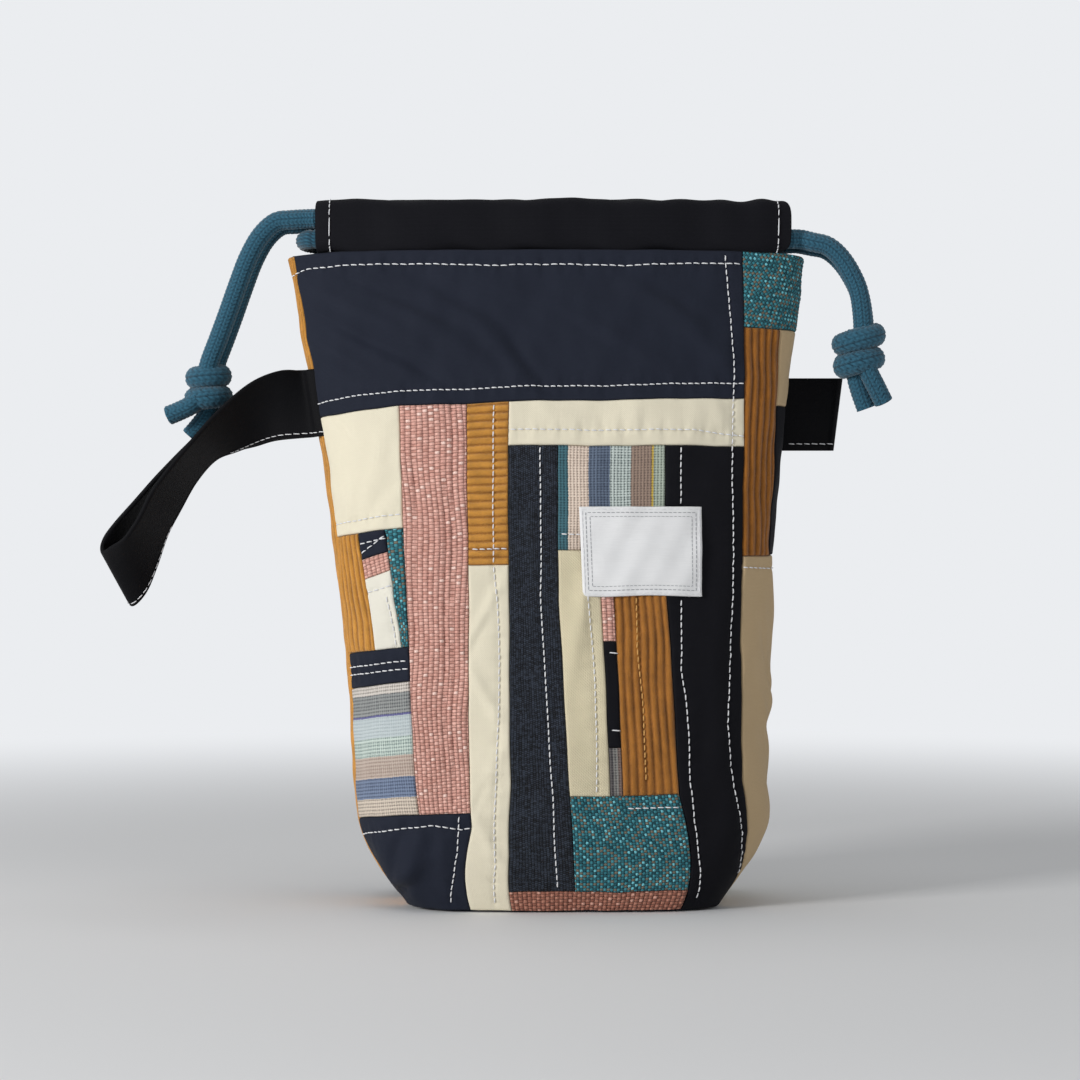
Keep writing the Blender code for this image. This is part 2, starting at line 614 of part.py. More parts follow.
def cords():
    drawstring("drawstring_left", 1, -1)
    drawstring("drawstring_right", 0, 1)
    hanging_strand("cord_end_left_front", 1, -1, -1, LEFT_ROUTE, LEFT_KNOT)
    hanging_strand("cord_end_left_back", 1, -1, 1, LEFT_ROUTE, LEFT_KNOT)
    hanging_strand("cord_end_right_front", 0, 1, -1, RIGHT_ROUTE, RIGHT_KNOT)
    hanging_strand("cord_end_right_back", 0, 1, 1, RIGHT_ROUTE, RIGHT_KNOT)
    knot("knot_left", -1, LEFT_KNOT, LEFT_TAILS)
    knot("knot_right", 1, RIGHT_KNOT, RIGHT_TAILS)


def wrist_strap():
    """A loop of tape, sewn into the left seam with both ends together."""
    edge = smooth_point(0.0, STRAP_HEIGHT).x
    places = [(edge - outwards, y, STRAP_HEIGHT + upwards) for (outwards, y, upwards), _ in STRAP_ROUTE]
    centres = smooth_route(places, STRAP_STATIONS)
    widths = smooth_route([way for _, way in STRAP_ROUTE], STRAP_STATIONS)
    bm = bmesh.new()
    lines = []
    for centre, way in zip(centres, widths):
        half = way.normalized() * (STRAP_WIDTH / 2)
        lines.append([bm.verts.new(centre - half), bm.verts.new(centre), bm.verts.new(centre + half)])
    for first, second in zip(lines, lines[1:]):
        for index in range(2):
            bm.faces.new((first[index], first[index + 1], second[index + 1], second[index]))
    made = add_object("wrist_strap", mesh_from("wrist_strap", bm), BLACK)
    solid = made.modifiers.new("Tape", "SOLIDIFY")
    solid.thickness = STRAP_THICKNESS
    solid.offset = 0.0
    return made


def side_tab():
    """A short folded tab, sewn into the right seam."""
    seam = along(RIGHT_SEAM, TAB_HEIGHT)
    seat = body_point(seam, TAB_HEIGHT)
    proud = max(
        body_point(seam + aside, TAB_HEIGHT + above).x
        for aside in (-TAB_THICKNESS, 0.0, TAB_THICKNESS)
        for above in (-TAB_WIDTH / 2, 0.0, TAB_WIDTH / 2)
    )
    bpy.ops.mesh.primitive_cube_add(size=1.0)
    made = bpy.context.active_object
    made.name = "side_tab"
    for vert in made.data.vertices:
        vert.co = Vector((vert.co.x * TAB_LENGTH, vert.co.y * TAB_THICKNESS, vert.co.z * TAB_WIDTH))
    made.location = (proud + CORD_ROOM + TAB_LENGTH / 2, seat.y, TAB_HEIGHT)
    for collection in list(made.users_collection):
        collection.objects.unlink(made)
    BAG.objects.link(made)
    made.data.materials.append(material("side_tab_cloth", BLACK, 0.9))
    soft = made.modifiers.new("Fold", "BEVEL")
    soft.width = TAB_THICKNESS * 0.3
    soft.segments = 2
    return made


def woven_label():
    """A woven label, sewn flat over the patches."""
    columns, rows = 8, 4
    bm = bmesh.new()
    bmesh.ops.create_grid(bm, x_segments=columns, y_segments=rows, size=0.5)
    lift = LAYER_GAP + LABEL_THICKNESS
    for vert in bm.verts:
        distance = LABEL_CENTRE[0] + vert.co.x * LABEL_SIZE[0]
        height = LABEL_CENTRE[1] + vert.co.y * LABEL_SIZE[1]
        vert.co = body_point(distance, height, -lift)
    made = add_object("woven_label", mesh_from("woven_label", bm), WHITE, 0.6)
    solid = made.modifiers.new("Cloth", "SOLIDIFY")
    solid.thickness = LABEL_THICKNESS
    solid.offset = -1.0
    return made


clear_scene()
BAG = make_collection("knitting_project_bag")
GUIDES = make_collection("cutters")
base_panel()
lining()
front_patches()
side_patches()
back_patches()
casing("front_casing", -1)
casing("back_casing", 1)
cords()
wrist_strap()
side_tab()
woven_label()
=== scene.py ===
import math

import bpy
import numpy as np
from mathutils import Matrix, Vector


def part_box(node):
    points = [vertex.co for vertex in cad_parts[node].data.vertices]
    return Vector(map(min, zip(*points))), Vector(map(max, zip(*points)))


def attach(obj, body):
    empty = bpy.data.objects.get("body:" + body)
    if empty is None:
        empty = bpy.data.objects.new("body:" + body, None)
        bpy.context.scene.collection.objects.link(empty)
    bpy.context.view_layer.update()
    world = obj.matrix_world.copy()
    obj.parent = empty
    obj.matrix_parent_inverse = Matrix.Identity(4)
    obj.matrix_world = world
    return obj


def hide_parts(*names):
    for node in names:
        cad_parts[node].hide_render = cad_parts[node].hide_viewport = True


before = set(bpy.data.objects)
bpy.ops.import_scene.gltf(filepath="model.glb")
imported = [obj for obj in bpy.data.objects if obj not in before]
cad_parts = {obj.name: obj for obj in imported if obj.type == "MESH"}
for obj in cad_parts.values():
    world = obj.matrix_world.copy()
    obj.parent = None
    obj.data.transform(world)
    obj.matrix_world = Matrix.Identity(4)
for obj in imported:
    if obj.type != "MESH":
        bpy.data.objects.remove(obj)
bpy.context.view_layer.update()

# The photograph's camera: level, a metre in front, seeing 0.36 mm a pixel at the bag's middle
PIXELS = 1080
MM_PER_PIXEL = 0.36
CAMERA_DISTANCE = 1.0
CAMERA_SIDE = -0.0083
CAMERA_HEIGHT = 0.129
SENSOR = 36.0

# The flat patchwork and the body that it makes, in millimetres
GIRTH = 400.0
HEIGHT = 231.0
BASE_WIDTH, BASE_DEPTH = 98.0, 74.0
WAIST_WIDTH, WAIST_DEPTH = 147.4, 85.0
MOUTH_WIDTH, MOUTH_DEPTH = 186.0, 41.0
BASE_ROUND = 49.0
LEAN = -6.0
FLARE_POWER = 1.6
SQUARENESS = (4.5, 3.3, 2.4)
# The base's corners stand out near the floor, and the patches' middle stays where it is
HEEL_WIDTH, HEEL_HEIGHT, HEEL_PULL = 12.4, 8.0, 0.08
CLOTH = 0.9
FLOOR_GAP = 0.05
SEAM_GAP = 0.05
MIDDLE_HEIGHT = 100

# Upright seams: (height, distance round); level seams: (distance round, height)
LEFT_SEAM = ((0, 18), (90, 18), (150, 14.7), (178, 11.8), (231, 6.4))
PINK_LEFT = ((31, 50.5), (90, 48), (179, 46))
PINK_RIGHT = ((0, 58), (30, 68.5), (179, 70.5))
LINEN_LEFT = ((0, 76.5), (20, 80.5), (45, 83), (120, 83.8), (179, 85.3))
LINEN_RIGHT = ((0, 104.7), (45, 103), (108, 100.8), (163, 102.3))
KHAKI_RIGHT = ((40, 117.2), (126, 115.2))
GOLD_LEFT = ((40, 121.5), (126, 119.7))
BLACK_LEFT = ((0, 152), (40.5, 141), (85, 139.5), (110, 138.5), (163, 140))
BLACK_RIGHT = ((0, 178.5), (22.5, 169.5), (45, 165.5), (108, 166.5), (162, 169.5), (231, 170.2))
SIDE_STRIP = ((123, 183.5), (204, 185))
RIGHT_SEAM = ((0, 208), (231, 208))
SMALL_GOLD_RIGHT = ((90, 35), (131, 29))
SMALL_TEAL_LEFT = ((90, 45.5), (133, 40))
BACK_FIRST = ((0, 252), (231, 250))
BACK_SECOND = ((0, 298), (231, 300))
BACK_THIRD = ((0, 347), (231, 345))
BACK_EDGE = ((0, 394), (231, 390))
# Lines that go all the way round run on past the left seam, up to this distance
ROUND_END = 420
FOOT = ((0, 0.3), (ROUND_END, 0.3))
TOP = (
    (0, 230.4), (12, 230.8), (24, 231.4), (34, 231.7), (170, 231.7), (186, 231.2), (200, 230.2), (208, 229.9),
    (225, 231.2), (380, 231.2), (400, 230.4), (412, 230.4), (ROUND_END, 230.8),
)
BAND_LOW = ((11, 172.5), (46, 176), (85, 177.5), (171, 179))
CREAM_LOW = ((15, 130), (47, 133.2))
NAVY_SMALL_LOW = ((29, 121.7), (42, 125.2))
PINK_SMALL_LOW = ((31, 115.2), (43, 119))
NAVY_BAND_TOP = ((18, 89), (48, 91.8))
NAVY_BAND_LOW = ((18, 76.5), (49, 80))
CORNER_TOP = ((18, 31), (50.5, 33.8), (70, 35))
CROSS_LOW = ((70, 120.5), (84, 120.5))
STRIP_LOW = ((85, 162), (170, 162))
STRIPED_LOW = ((100, 125.5), (141, 125.8))
PINK_SLIVER_LOW = ((115, 94), (123, 94))
BLACK_SLIVER_LOW = ((115, 57.5), (123, 57.5))
TWEED_TOP = ((100, 40.5), (143, 41))
TWEED_LOW = ((76, 7.2), (152, 7.2))
SIDE_TWEED_LOW = ((170, 204.5), (208, 203))
TAN_STRIP_LOW = ((183, 176.5), (208, 176.5))
SIDE_GOLD_LOW = ((166, 123.5), (208, 123.5))
BACK_BAND_LOW = ((208, 180), (394, 180))

# Topstitching on the patches: (distance round, height)
STITCH_LINES = {
    "stitches_mouth": (
        (3.5, 223.2), (8, 224.2), (14, 225.6), (30, 226.6), (80, 226), (130, 226), (169.5, 227),
    ),
    "stitches_band": ((9.5, 177.0), (28, 179.7), (55, 181.5), (87, 182.5), (125, 183.2), (169.5, 184.3)),
    "stitches_right_long": (
        (163.5, 230), (165, 205), (165.5, 184), (164.5, 161), (163.5, 125), (161.5, 94), (160.5, 78),
        (159.5, 66), (160, 54), (161.5, 41), (164, 32), (167, 22), (172, 12),
    ),
    "stitches_cream_left": ((16.5, 134.5), (46.5, 138)),
    "stitches_cross_up": ((80, 176.5), (78.5, 121)),
    "stitches_cross_level": ((71, 126), (83.5, 126)),
    "stitches_long_column": ((78.5, 120), (79.5, 108), (80, 87), (79.3, 66), (77.2, 38), (75, 17), (70.5, 3)),
    "stitches_corner_level": ((20, 25.5), (42.5, 28.5), (54.5, 30.3), (64.5, 29.2), (68, 29.8)),
    "stitches_corner_up": ((64.5, 34), (63.5, 28), (62, 21), (58.5, 13), (52, 3)),
    "stitches_ivory_level": ((32.3, 110.6), (42.2, 113.2)),
    "stitches_ivory_up": ((40.4, 109.5), (43.4, 92.0)),
    "stitches_navy_band_a": ((19, 84), (47, 87)),
    "stitches_navy_band_b": ((19, 81.3), (47.8, 84.3)),
    "stitches_cream_strip": ((85.5, 167.5), (150, 167.5), (169.5, 165.5)),
    "stitches_linen": (
        (96, 161.5), (95.5, 128), (94.6, 110), (95, 94), (96, 76), (96.5, 59), (97.3, 41),
        (97.2, 27), (97.5, 8.5),
    ),
    "stitches_black_left": (
        (145.5, 161.5), (144.5, 125), (143, 94), (142.7, 84), (144.3, 73), (145, 60), (145, 45),
        (146.5, 32), (149.5, 20), (154, 9), (156, 4),
    ),
    "stitches_khaki": ((110.5, 125), (111, 109.5), (112, 94), (112.5, 79), (112.8, 64), (112.5, 42)),
    "stitches_striped": ((102.5, 131), (140, 131)),
    "stitches_sliver_a": ((117.5, 90), (121.3, 90)),
    "stitches_sliver_b": ((117.8, 63.5), (121.5, 63.5)),
    "stitches_tweed": ((123, 36.5), (141, 36.5)),
    "stitches_side": ((167, 119.5), (207, 118.5)),
    "stitches_side_black": ((201, 175), (203, 124)),
    "stitches_navy_small_a": ((30, 127.5), (40.5, 129.6)),
    "stitches_navy_small_b": ((30.5, 124), (40, 130.5)),
    "stitches_gold_sunk": ((128, 112), (127.5, 92), (129, 70), (129.5, 46)),
}
# Rows whose thread has sunk out of sight in the thick tweed: only the valley shows
SUNK_LINES = (
    ((65.3, 177), (64.8, 140), (63.9, 90), (63.1, 38)), ((51.2, 164), (51.6, 130), (50.4, 92)),
    ((62.3, 150), (61.5, 100), (60.4, 50)),
)
# A stitch: its pitch, its share of the pitch, how far it leans, and half its thickness
STITCH_PITCH = 2.5
OTHER_PITCHES = {"stitches_mouth": 2.95, "stitches_band": 2.3, "stitches_cross_up": 2.3}
STITCH_SHARE = 0.80
STITCH_SLANT = 0.07
THREAD = 0.23
STRAP_THREAD = 0.17
# Sections of a stitch: share of its length, share of its thickness, lift in thicknesses
STITCH_SECTIONS = np.array((
    (0.0, 0.2, -0.5), (0.08, 0.8, -0.05), (0.28, 1.0, 0.2),
    (0.72, 1.0, 0.2), (0.92, 0.8, -0.05), (1.0, 0.2, -0.5),
))
STITCH_SIDES = 6
STITCH_LIFT = 0.30
# How a row moves the cloth: a valley with deeper holes, puckers beside it, and the valley of a sunk row
VALLEY_DEPTH, HOLE_DEPTH, VALLEY_HALF = 0.26, 0.22, 0.85
PUCKER_LIFT, PUCKER_HALF = 0.16, 3.4
SUNK_DEPTH, SUNK_SWAY, SUNK_HALF = 0.55, 0.2, 0.8
STITCH_REACH = 8
FOLD_DEPTH = 1.5

# Soft folds: distance round, height, turn in degrees, half length, half width, share of the fold depth
FOLDS = (
    (193, 75, 20, 16, 7, 1.3), (188, 62, 20, 14, 5, -0.5), (180, 30, 70, 12, 12, 1.2),
    (36, 17, 60, 12, 9, 1.2), (60, 207, 8, 26, 12, 0.6), (125, 207, -6, 30, 12, 0.6),
    (37, 207, -26, 26, 4.2, 1.3), (42, 216, -24, 26, 2.6, -0.9), (26, 193, -30, 18, 3.4, 1.1),
    (36, 199, -28, 22, 2.4, -0.9), (60, 203, -34, 26, 4.0, 1.2), (52, 192, -40, 16, 2.8, -0.7),
    (70, 213, -30, 22, 3.0, -0.8), (84, 194, -52, 16, 3.2, 0.8), (91, 193, -56, 13, 2.4, -0.7),
    (100, 210, -26, 24, 4.0, 0.8), (112, 203, -30, 22, 2.8, -0.7), (128, 197, -30, 22, 3.6, 0.7),
    (145, 209, -35, 22, 4.0, 0.8), (140, 217, -30, 18, 2.6, -0.5), (157, 196, -42, 16, 3.4, 0.7),
    (95, 48, 88, 34, 22, 1.2), (300, 110, 80, 50, 45, 1.4), (50, 60, 85, 40, 10, 0.5),
    (156, 96, 80, 30, 4.5, 0.6), (151, 70, 84, 26, 3.6, -0.5), (158, 45, 100, 24, 4.0, 0.6),
    (150, 25, 100, 16, 6, -0.5), (25, 168, -44, 9, 1.9, -0.75), (28, 165, -46, 10, 2.4, 0.5),
    (38, 156, 72, 16, 3.4, 0.4), (41, 146, 48, 14, 3.2, -0.4), (26, 143, 74, 12, 3.0, 0.5),
    (76, 104, 62, 15, 2.2, 0.6), (73, 96, 62, 12, 1.6, -0.4), (75, 75, 118, 15, 2.2, 0.55),
    (77, 50, 64, 15, 2.2, 0.55), (73, 42, 64, 12, 1.6, -0.4), (74, 25, 115, 12, 2.2, 0.5),
    (192, 100, -62, 24, 4.0, 1.1), (186, 84, -62, 22, 3.0, -0.8), (196, 55, -66, 22, 4.0, 1.0),
    (181, 60, -70, 20, 3.0, 0.8), (188, 42, -66, 18, 3.0, -0.7), (33, 7, 20, 8, 2.0, -1.5),
    (39, 12, 30, 12, 3.0, 1.0), (46, 19, 58, 13, 3.0, 0.9), (40, 22, 58, 11, 2.0, -0.6),
    (57, 22, 74, 12, 2.6, 0.5), (106, 90, 80, 22, 3.0, 0.45), (131, 78, 96, 16, 5.0, 0.4),
    (130, 172, 80, 6, 3.0, 0.4), (160, 173, 100, 6, 3.0, 0.4), (110, 110, 84, 16, 2.4, 0.4),
    (60, 130, 86, 36, 4.0, 0.35), (93, 120, 88, 30, 3.5, 0.35), (119, 165, 4, 24, 2.6, 0.3),
)
# Slack all over the cloth: waves round the body, turn for each millimetre up, phase, lift
SLACK_WAVES = (
    (10, 0.10, 0.4, 0.18), (-17, 0.16, 1.9, 0.14), (4, 0.37, 3.1, 0.10), (29, -0.20, 4.4, 0.09),
    (-22, -0.54, 5.2, 0.06), (52, 0.16, 0.9, 0.035),
)


def along(line, at):
    """Reads a seam line at one or many places."""
    pairs = np.array(line, float)
    return np.interp(at, pairs[:, 0], pairs[:, 1])


def curve_through(points, step):
    """Points at an even step on a smooth curve through the chosen ones."""
    keys = np.array(points, float)
    keys = np.vstack((2 * keys[0] - keys[1], keys, 2 * keys[-1] - keys[-2]))
    part = np.linspace(0, 1, 40, endpoint=False)[:, None]
    runs = []
    for before, start, end, after in zip(keys, keys[1:], keys[2:], keys[3:]):
        runs.append(0.5 * (
            2 * start + (end - before) * part
            + (2 * before - 5 * start + 4 * end - after) * part ** 2
            + (3 * start - before - 3 * end + after) * part ** 3
        ))
    dense = np.vstack(runs + [keys[-2:-1]])
    run = np.concatenate(([0], np.cumsum(np.linalg.norm(np.diff(dense, axis=0), axis=1))))
    count = max(2, int(round(run[-1] / step)) + 1)
    at = np.linspace(0, run[-1], count)
    return np.stack([np.interp(at, run, dense[:, axis]) for axis in range(dense.shape[1])], 1)


# The body's form

def section(height):
    """Half width, half depth and squareness of the body at a height."""
    rise = np.clip(height / BASE_ROUND, 0, 1)
    swell = 1 - (1 - rise) ** 3
    flare = np.clip((height - BASE_ROUND) / (HEIGHT - BASE_ROUND), 0, None) ** FLARE_POWER

    def blend(base, waist, mouth):
        return base + (waist - base) * swell + (mouth - waist) * flare

    return (
        blend(BASE_WIDTH, WAIST_WIDTH, MOUTH_WIDTH) / 2 + HEEL_WIDTH / 2 * np.exp(-height / HEEL_HEIGHT),
        blend(BASE_DEPTH, WAIST_DEPTH, MOUTH_DEPTH) / 2,
        blend(*SQUARENESS),
    )


def body_table():
    """The smooth body, read at every millimetre of height and half millimetre of girth."""
    heights = np.arange(0, HEIGHT + 4)
    places = np.arange(0, GIRTH + 0.5, 0.5)
    turn = np.linspace(math.pi, 3 * math.pi, 1441)
    rows = []
    for height in heights:
        half_width, half_depth, squareness = section(height)
        x = half_width * np.sign(np.cos(turn)) * np.abs(np.cos(turn)) ** (2 / squareness)
        y = half_depth * np.sign(np.sin(turn)) * np.abs(np.sin(turn)) ** (2 / squareness)
        run = np.concatenate(([0], np.cumsum(np.hypot(np.diff(x), np.diff(y)))))
        pull = HEEL_PULL * math.exp(-height / HEEL_HEIGHT)
        pull = pull * np.sin(4 * math.pi * places / GIRTH) / (4 * math.pi)
        share = (places / GIRTH + pull) * run[-1]
        across = np.interp(share, run, x) + LEAN * height / HEIGHT
        rows.append(np.stack((across, np.interp(share, run, y)), 1))
    return np.array(rows)


BODY = body_table()


def smooth_place(s, z):
    """A place on the smooth body, in millimetres, from a distance round and a height."""
    s = np.mod(s, GIRTH) * 2
    z = np.clip(z, 0, BODY.shape[0] - 1.001)
    column = np.minimum(s.astype(int), BODY.shape[1] - 2)
    row = z.astype(int)
    over = (s - column)[..., None]
    up = (z - row)[..., None]
    low = BODY[row, column] * (1 - over) + BODY[row, column + 1] * over
    high = BODY[row + 1, column] * (1 - over) + BODY[row + 1, column + 1] * over
    flat = low * (1 - up) + high * up
    return np.concatenate((flat, z[..., None]), -1)


def out_of_body(s, z):
    """The direction straight out of the body."""
    across = smooth_place(s + 1.5, z) - smooth_place(s - 1.5, z)
    upward = smooth_place(s, z + 1.5) - smooth_place(s, np.maximum(z - 1.5, 0))
    out = np.cross(across, upward)
    return out / np.linalg.norm(out, axis=-1, keepdims=True)


def distance_to(line, s, z):
    """Distance to a stitch line, and how far along it the nearest point is."""
    best = np.full(s.shape, 1e3)
    where = np.zeros(s.shape)
    run = 0.0
    for (s0, z0), (s1, z1) in zip(line, line[1:]):
        length = math.hypot(s1 - s0, z1 - z0)
        part = np.clip(((s - s0) * (s1 - s0) + (z - z0) * (z1 - z0)) / length ** 2, 0, 1)
        away = np.hypot(s - s0 - part * (s1 - s0), z - z0 - part * (z1 - z0))
        near = away < best
        best = np.where(near, away, best)
        where = np.where(near, run + part * length, where)
        run += length
    return best, where


def even_pitch(name, line):
    """The pitch that fits a whole number of stitches on a line."""
    length = sum(math.dist(start, end) for start, end in zip(line, line[1:]))
    return length / max(1, int(length / OTHER_PITCHES.get(name, STITCH_PITCH)))


def cloth_lift(s, z):
    """How far folds, slack and the pull of the thread move the cloth, in millimetres."""
    lift = np.zeros(s.shape)
    for centre, level, turn, reach, width, height in FOLDS:
        cosine, sine = math.cos(math.radians(turn)), math.sin(math.radians(turn))
        aside = np.mod(s - centre + GIRTH / 2, GIRTH) - GIRTH / 2
        over = aside * cosine + (z - level) * sine
        side = -aside * sine + (z - level) * cosine
        lift += FOLD_DEPTH * height * np.exp(-(over / reach) ** 2 - (side / width) ** 2)
    turn = 2 * math.pi / GIRTH * s
    for waves, up, phase, height in SLACK_WAVES:
        lift += height * np.sin(waves * turn + up * z + phase)
    for name, line in STITCH_LINES.items():
        spots = np.array(line)
        if s.max() < spots[:, 0].min() - STITCH_REACH or s.min() > spots[:, 0].max() + STITCH_REACH:
            continue
        if z.max() < spots[:, 1].min() - STITCH_REACH or z.min() > spots[:, 1].max() + STITCH_REACH:
            continue
        away, where = distance_to(line, s, z)
        hole = 0.5 + 0.5 * np.cos(2 * math.pi * where / even_pitch(name, line))
        lift -= (VALLEY_DEPTH + HOLE_DEPTH * hole) * np.exp(-(away / VALLEY_HALF) ** 2)
        pucker = np.sin(where * 0.9) + 0.6 * np.sin(where * 0.37 + 1.3) + 0.5 * np.sin(where * 1.7)
        lift += PUCKER_LIFT * pucker * np.exp(-(away / PUCKER_HALF) ** 2)
    for line in SUNK_LINES:
        away, where = distance_to(line, s, z)
        lift -= (SUNK_DEPTH + SUNK_SWAY * np.sin(where * 0.6)) * np.exp(-(away / SUNK_HALF) ** 2)
    return lift


def sewn_by_hand(s, z):
    """Small wanderings of cloth and seams, the same all the way round."""
    turn = 2 * math.pi / GIRTH * s
    low = np.clip(z / 6, 0, 1) * np.clip((HEIGHT - z) / 4, 0, 1)
    aside = 0.17 * np.sin(0.07 * z + 0.9 * np.sin(4 * turn) + 1.0) + 0.07 * np.sin(0.23 * z + 8 * turn)
    above = 0.16 * np.sin(8 * turn + 0.6 * np.sin(0.05 * z) + 2.0) + 0.06 * np.sin(26 * turn - 0.1 * z)
    return s + aside, z + above * low


def on_body(s, z, out=0.0):
    """A place on the dressed body, in metres."""
    s, z = sewn_by_hand(np.asarray(s, float), np.asarray(z, float))
    point = smooth_place(s, z) + out_of_body(s, z) * (cloth_lift(s, z) + out)[..., None]
    point[..., 2] = np.maximum(point[..., 2], FLOOR_GAP)
    return point * 0.001


# Finishes

class Value:
    """A socket that can be written in a sum."""

    def __init__(self, owner, socket):
        self.owner = owner
        self.socket = socket

    def maths(self, operation, *values):
        return self.owner.node("ShaderNodeMath", {"operation": operation}, dict(enumerate(values)))

    def __add__(self, other):
        return self.maths("ADD", self, other)

    def __radd__(self, other):
        return self.maths("ADD", other, self)

    def __sub__(self, other):
        return self.maths("SUBTRACT", self, other)

    def __rsub__(self, other):
        return self.maths("SUBTRACT", other, self)

    def __mul__(self, other):
        return self.maths("MULTIPLY", self, other)

    def __rmul__(self, other):
        return self.maths("MULTIPLY", other, self)

    def __truediv__(self, other):
        return self.maths("DIVIDE", self, other)

    def __lt__(self, other):
        return self.maths("LESS_THAN", self, other)

    def __pow__(self, other):
        return self.maths("POWER", self, other)

    def wave(self):
        """From 0 to 1 and back once for each whole number."""
        return 0.5 - 0.5 * self.maths("COSINE", self * (2 * math.pi))

    def arch(self):
        """From 0 up to 1 and down to 0 within each whole number."""
        return self.maths("SINE", self.rest() * math.pi)

    def whole(self):
        return self.maths("FLOOR", self)

    def rest(self):
        return self.maths("FRACT", self)

    def held(self):
        """The same value, kept between 0 and 1."""
        return self.owner.node("ShaderNodeMath", {"operation": "ADD", "use_clamp": True}, {0: self, 1: 0.0})


class Nodes:
    """The nodes of a material or of the studio's air."""

    def __init__(self, block):
        block.use_nodes = True
        self.tree = block.node_tree

    def node(self, kind, settings, values, out=0):
        made = self.tree.nodes.new(kind)
        for name, setting in settings.items():
            if name == "stops":
                ramp = made.color_ramp
                ramp.interpolation = settings.get("blend", "LINEAR")
                while len(ramp.elements) < len(setting):
                    ramp.elements.new(1.0)
                for element, (place, colour) in zip(ramp.elements, setting):
                    element.position = place
                    element.color = (*colour, 1.0)
            elif name != "blend":
                setattr(made, name, setting)
        for socket, value in values.items():
            if isinstance(value, Value):
                self.tree.links.new(value.socket, made.inputs[socket])
            else:
                made.inputs[socket].default_value = value
        return Value(self, made.outputs[out])

    def own(self, name, out=0):
        """What a node that was there from the start gives."""
        return Value(self, self.tree.nodes[name].outputs[out])

    def send(self, value, name):
        """Feeds the last node."""
        self.tree.links.new(value.socket, self.tree.nodes[name].inputs[0])


class Finish(Nodes):
    """One material: a Principled shader and the nodes that feed it."""

    def __init__(self, name, roughness=0.9, sheen=0.0, specular=0.25):
        self.material = bpy.data.materials.new(name)
        super().__init__(self.material)
        self.shader = self.tree.nodes["Principled BSDF"]
        self.shader.inputs["Roughness"].default_value = roughness
        self.shader.inputs["Sheen Weight"].default_value = sheen
        self.shader.inputs["Sheen Roughness"].default_value = 0.5
        self.shader.inputs["Specular IOR Level"].default_value = specular

    def place(self):
        """The cloth's own flat coordinates in millimetres, over and up, and the height of a cord's stitch."""
        spot = self.node("ShaderNodeAttribute", {"attribute_name": "cloth_place"}, {}, 1)
        return tuple(self.node("ShaderNodeSeparateXYZ", {}, {0: spot}, axis) for axis in range(3))

    def spot(self, x, y):
        return self.node("ShaderNodeCombineXYZ", {}, {0: x, 1: y})

    def noise(self, x, y, scale, detail=2.0):
        values = {"Vector": self.spot(x, y), "Scale": scale, "Detail": detail}
        return self.node("ShaderNodeTexNoise", {}, values)

    def chance(self, x, y):
        """A number from 0 to 1 for each whole place."""
        return self.node("ShaderNodeTexWhiteNoise", {"noise_dimensions": "2D"}, {"Vector": self.spot(x, y)})

    def mix(self, share, first, second):
        values = {0: share}
        for index, colour in ((6, first), (7, second)):
            values[index] = colour if isinstance(colour, Value) else (*colour, 1.0)
        return self.node("ShaderNodeMix", {"data_type": "RGBA"}, values, 2)

    def tint(self, colour, amount):
        """A colour made lighter or darker by a number around 1."""
        grey = self.node("ShaderNodeCombineColor", {}, {0: amount, 1: amount, 2: amount})
        first = colour if isinstance(colour, Value) else (*colour, 1.0)
        return self.node(
            "ShaderNodeMix", {"data_type": "RGBA", "blend_type": "MULTIPLY"}, {0: 1.0, 6: first, 7: grey}, 2
        )

    def ramp(self, value, stops, blend="LINEAR"):
        return self.node("ShaderNodeValToRGB", {"stops": stops, "blend": blend}, {0: value})

    def bump(self, height, depth):
        """Raises the surface by a height from 0 to 1 times a depth in millimetres."""
        self.feed("Normal", self.node("ShaderNodeBump", {}, {"Height": height, "Distance": depth * 0.001}))

    def feed(self, socket, value):
        self.tree.links.new(value.socket, self.shader.inputs[socket])


def linear(red, green, blue):
    """A colour as seen, 0 to 255, made ready for light."""
    made = []
    for channel in (red, green, blue):
        share = channel / 255
        made.append(share / 12.92 if share <= 0.04045 else ((share + 0.055) / 1.055) ** 2.4)
    return tuple(made)


NAVY = linear(35, 39, 51)
BLACK = linear(19, 19, 24)
TAPE_BLACK = linear(13, 13, 16)
CREAM = linear(225, 217, 194)
IVORY = linear(227, 223, 209)
KHAKI = linear(214, 203, 172)
TAN = linear(192, 167, 130)
GOLD = linear(202, 142, 60)
GOLD_LOW = linear(166, 108, 42)
# The side patch's darker gold stands partly for painted shade on the side that turns away from the key lamp.
GOLD_SIDE_SHADED = linear(154, 96, 29)
# Painted shade in the corduroy's furrows.
GOLD_FURROW_SHADE = linear(112, 66, 20)
CORD = linear(48, 98, 120)
# Painted shade in the holes between the cord's stitches.
CORD_HOLE_SHADE = linear(14, 40, 54)
THREAD_WHITE = linear(230, 230, 232)
LABEL_WHITE = linear(240, 240, 240)
NATURAL = linear(214, 204, 180)


def crossed(over, up, pitch):
    """Height of a plain weave: one thread over, the next one under."""
    x = over / pitch
    y = up / pitch
    odd = ((x.whole() + y.whole()) * 0.5).rest() * 2.0
    warp = x.wave() * (0.55 + 0.45 * y.wave())
    weft = y.wave() * (0.55 + 0.45 * x.wave())
    return warp * odd + weft * (1.0 - odd)


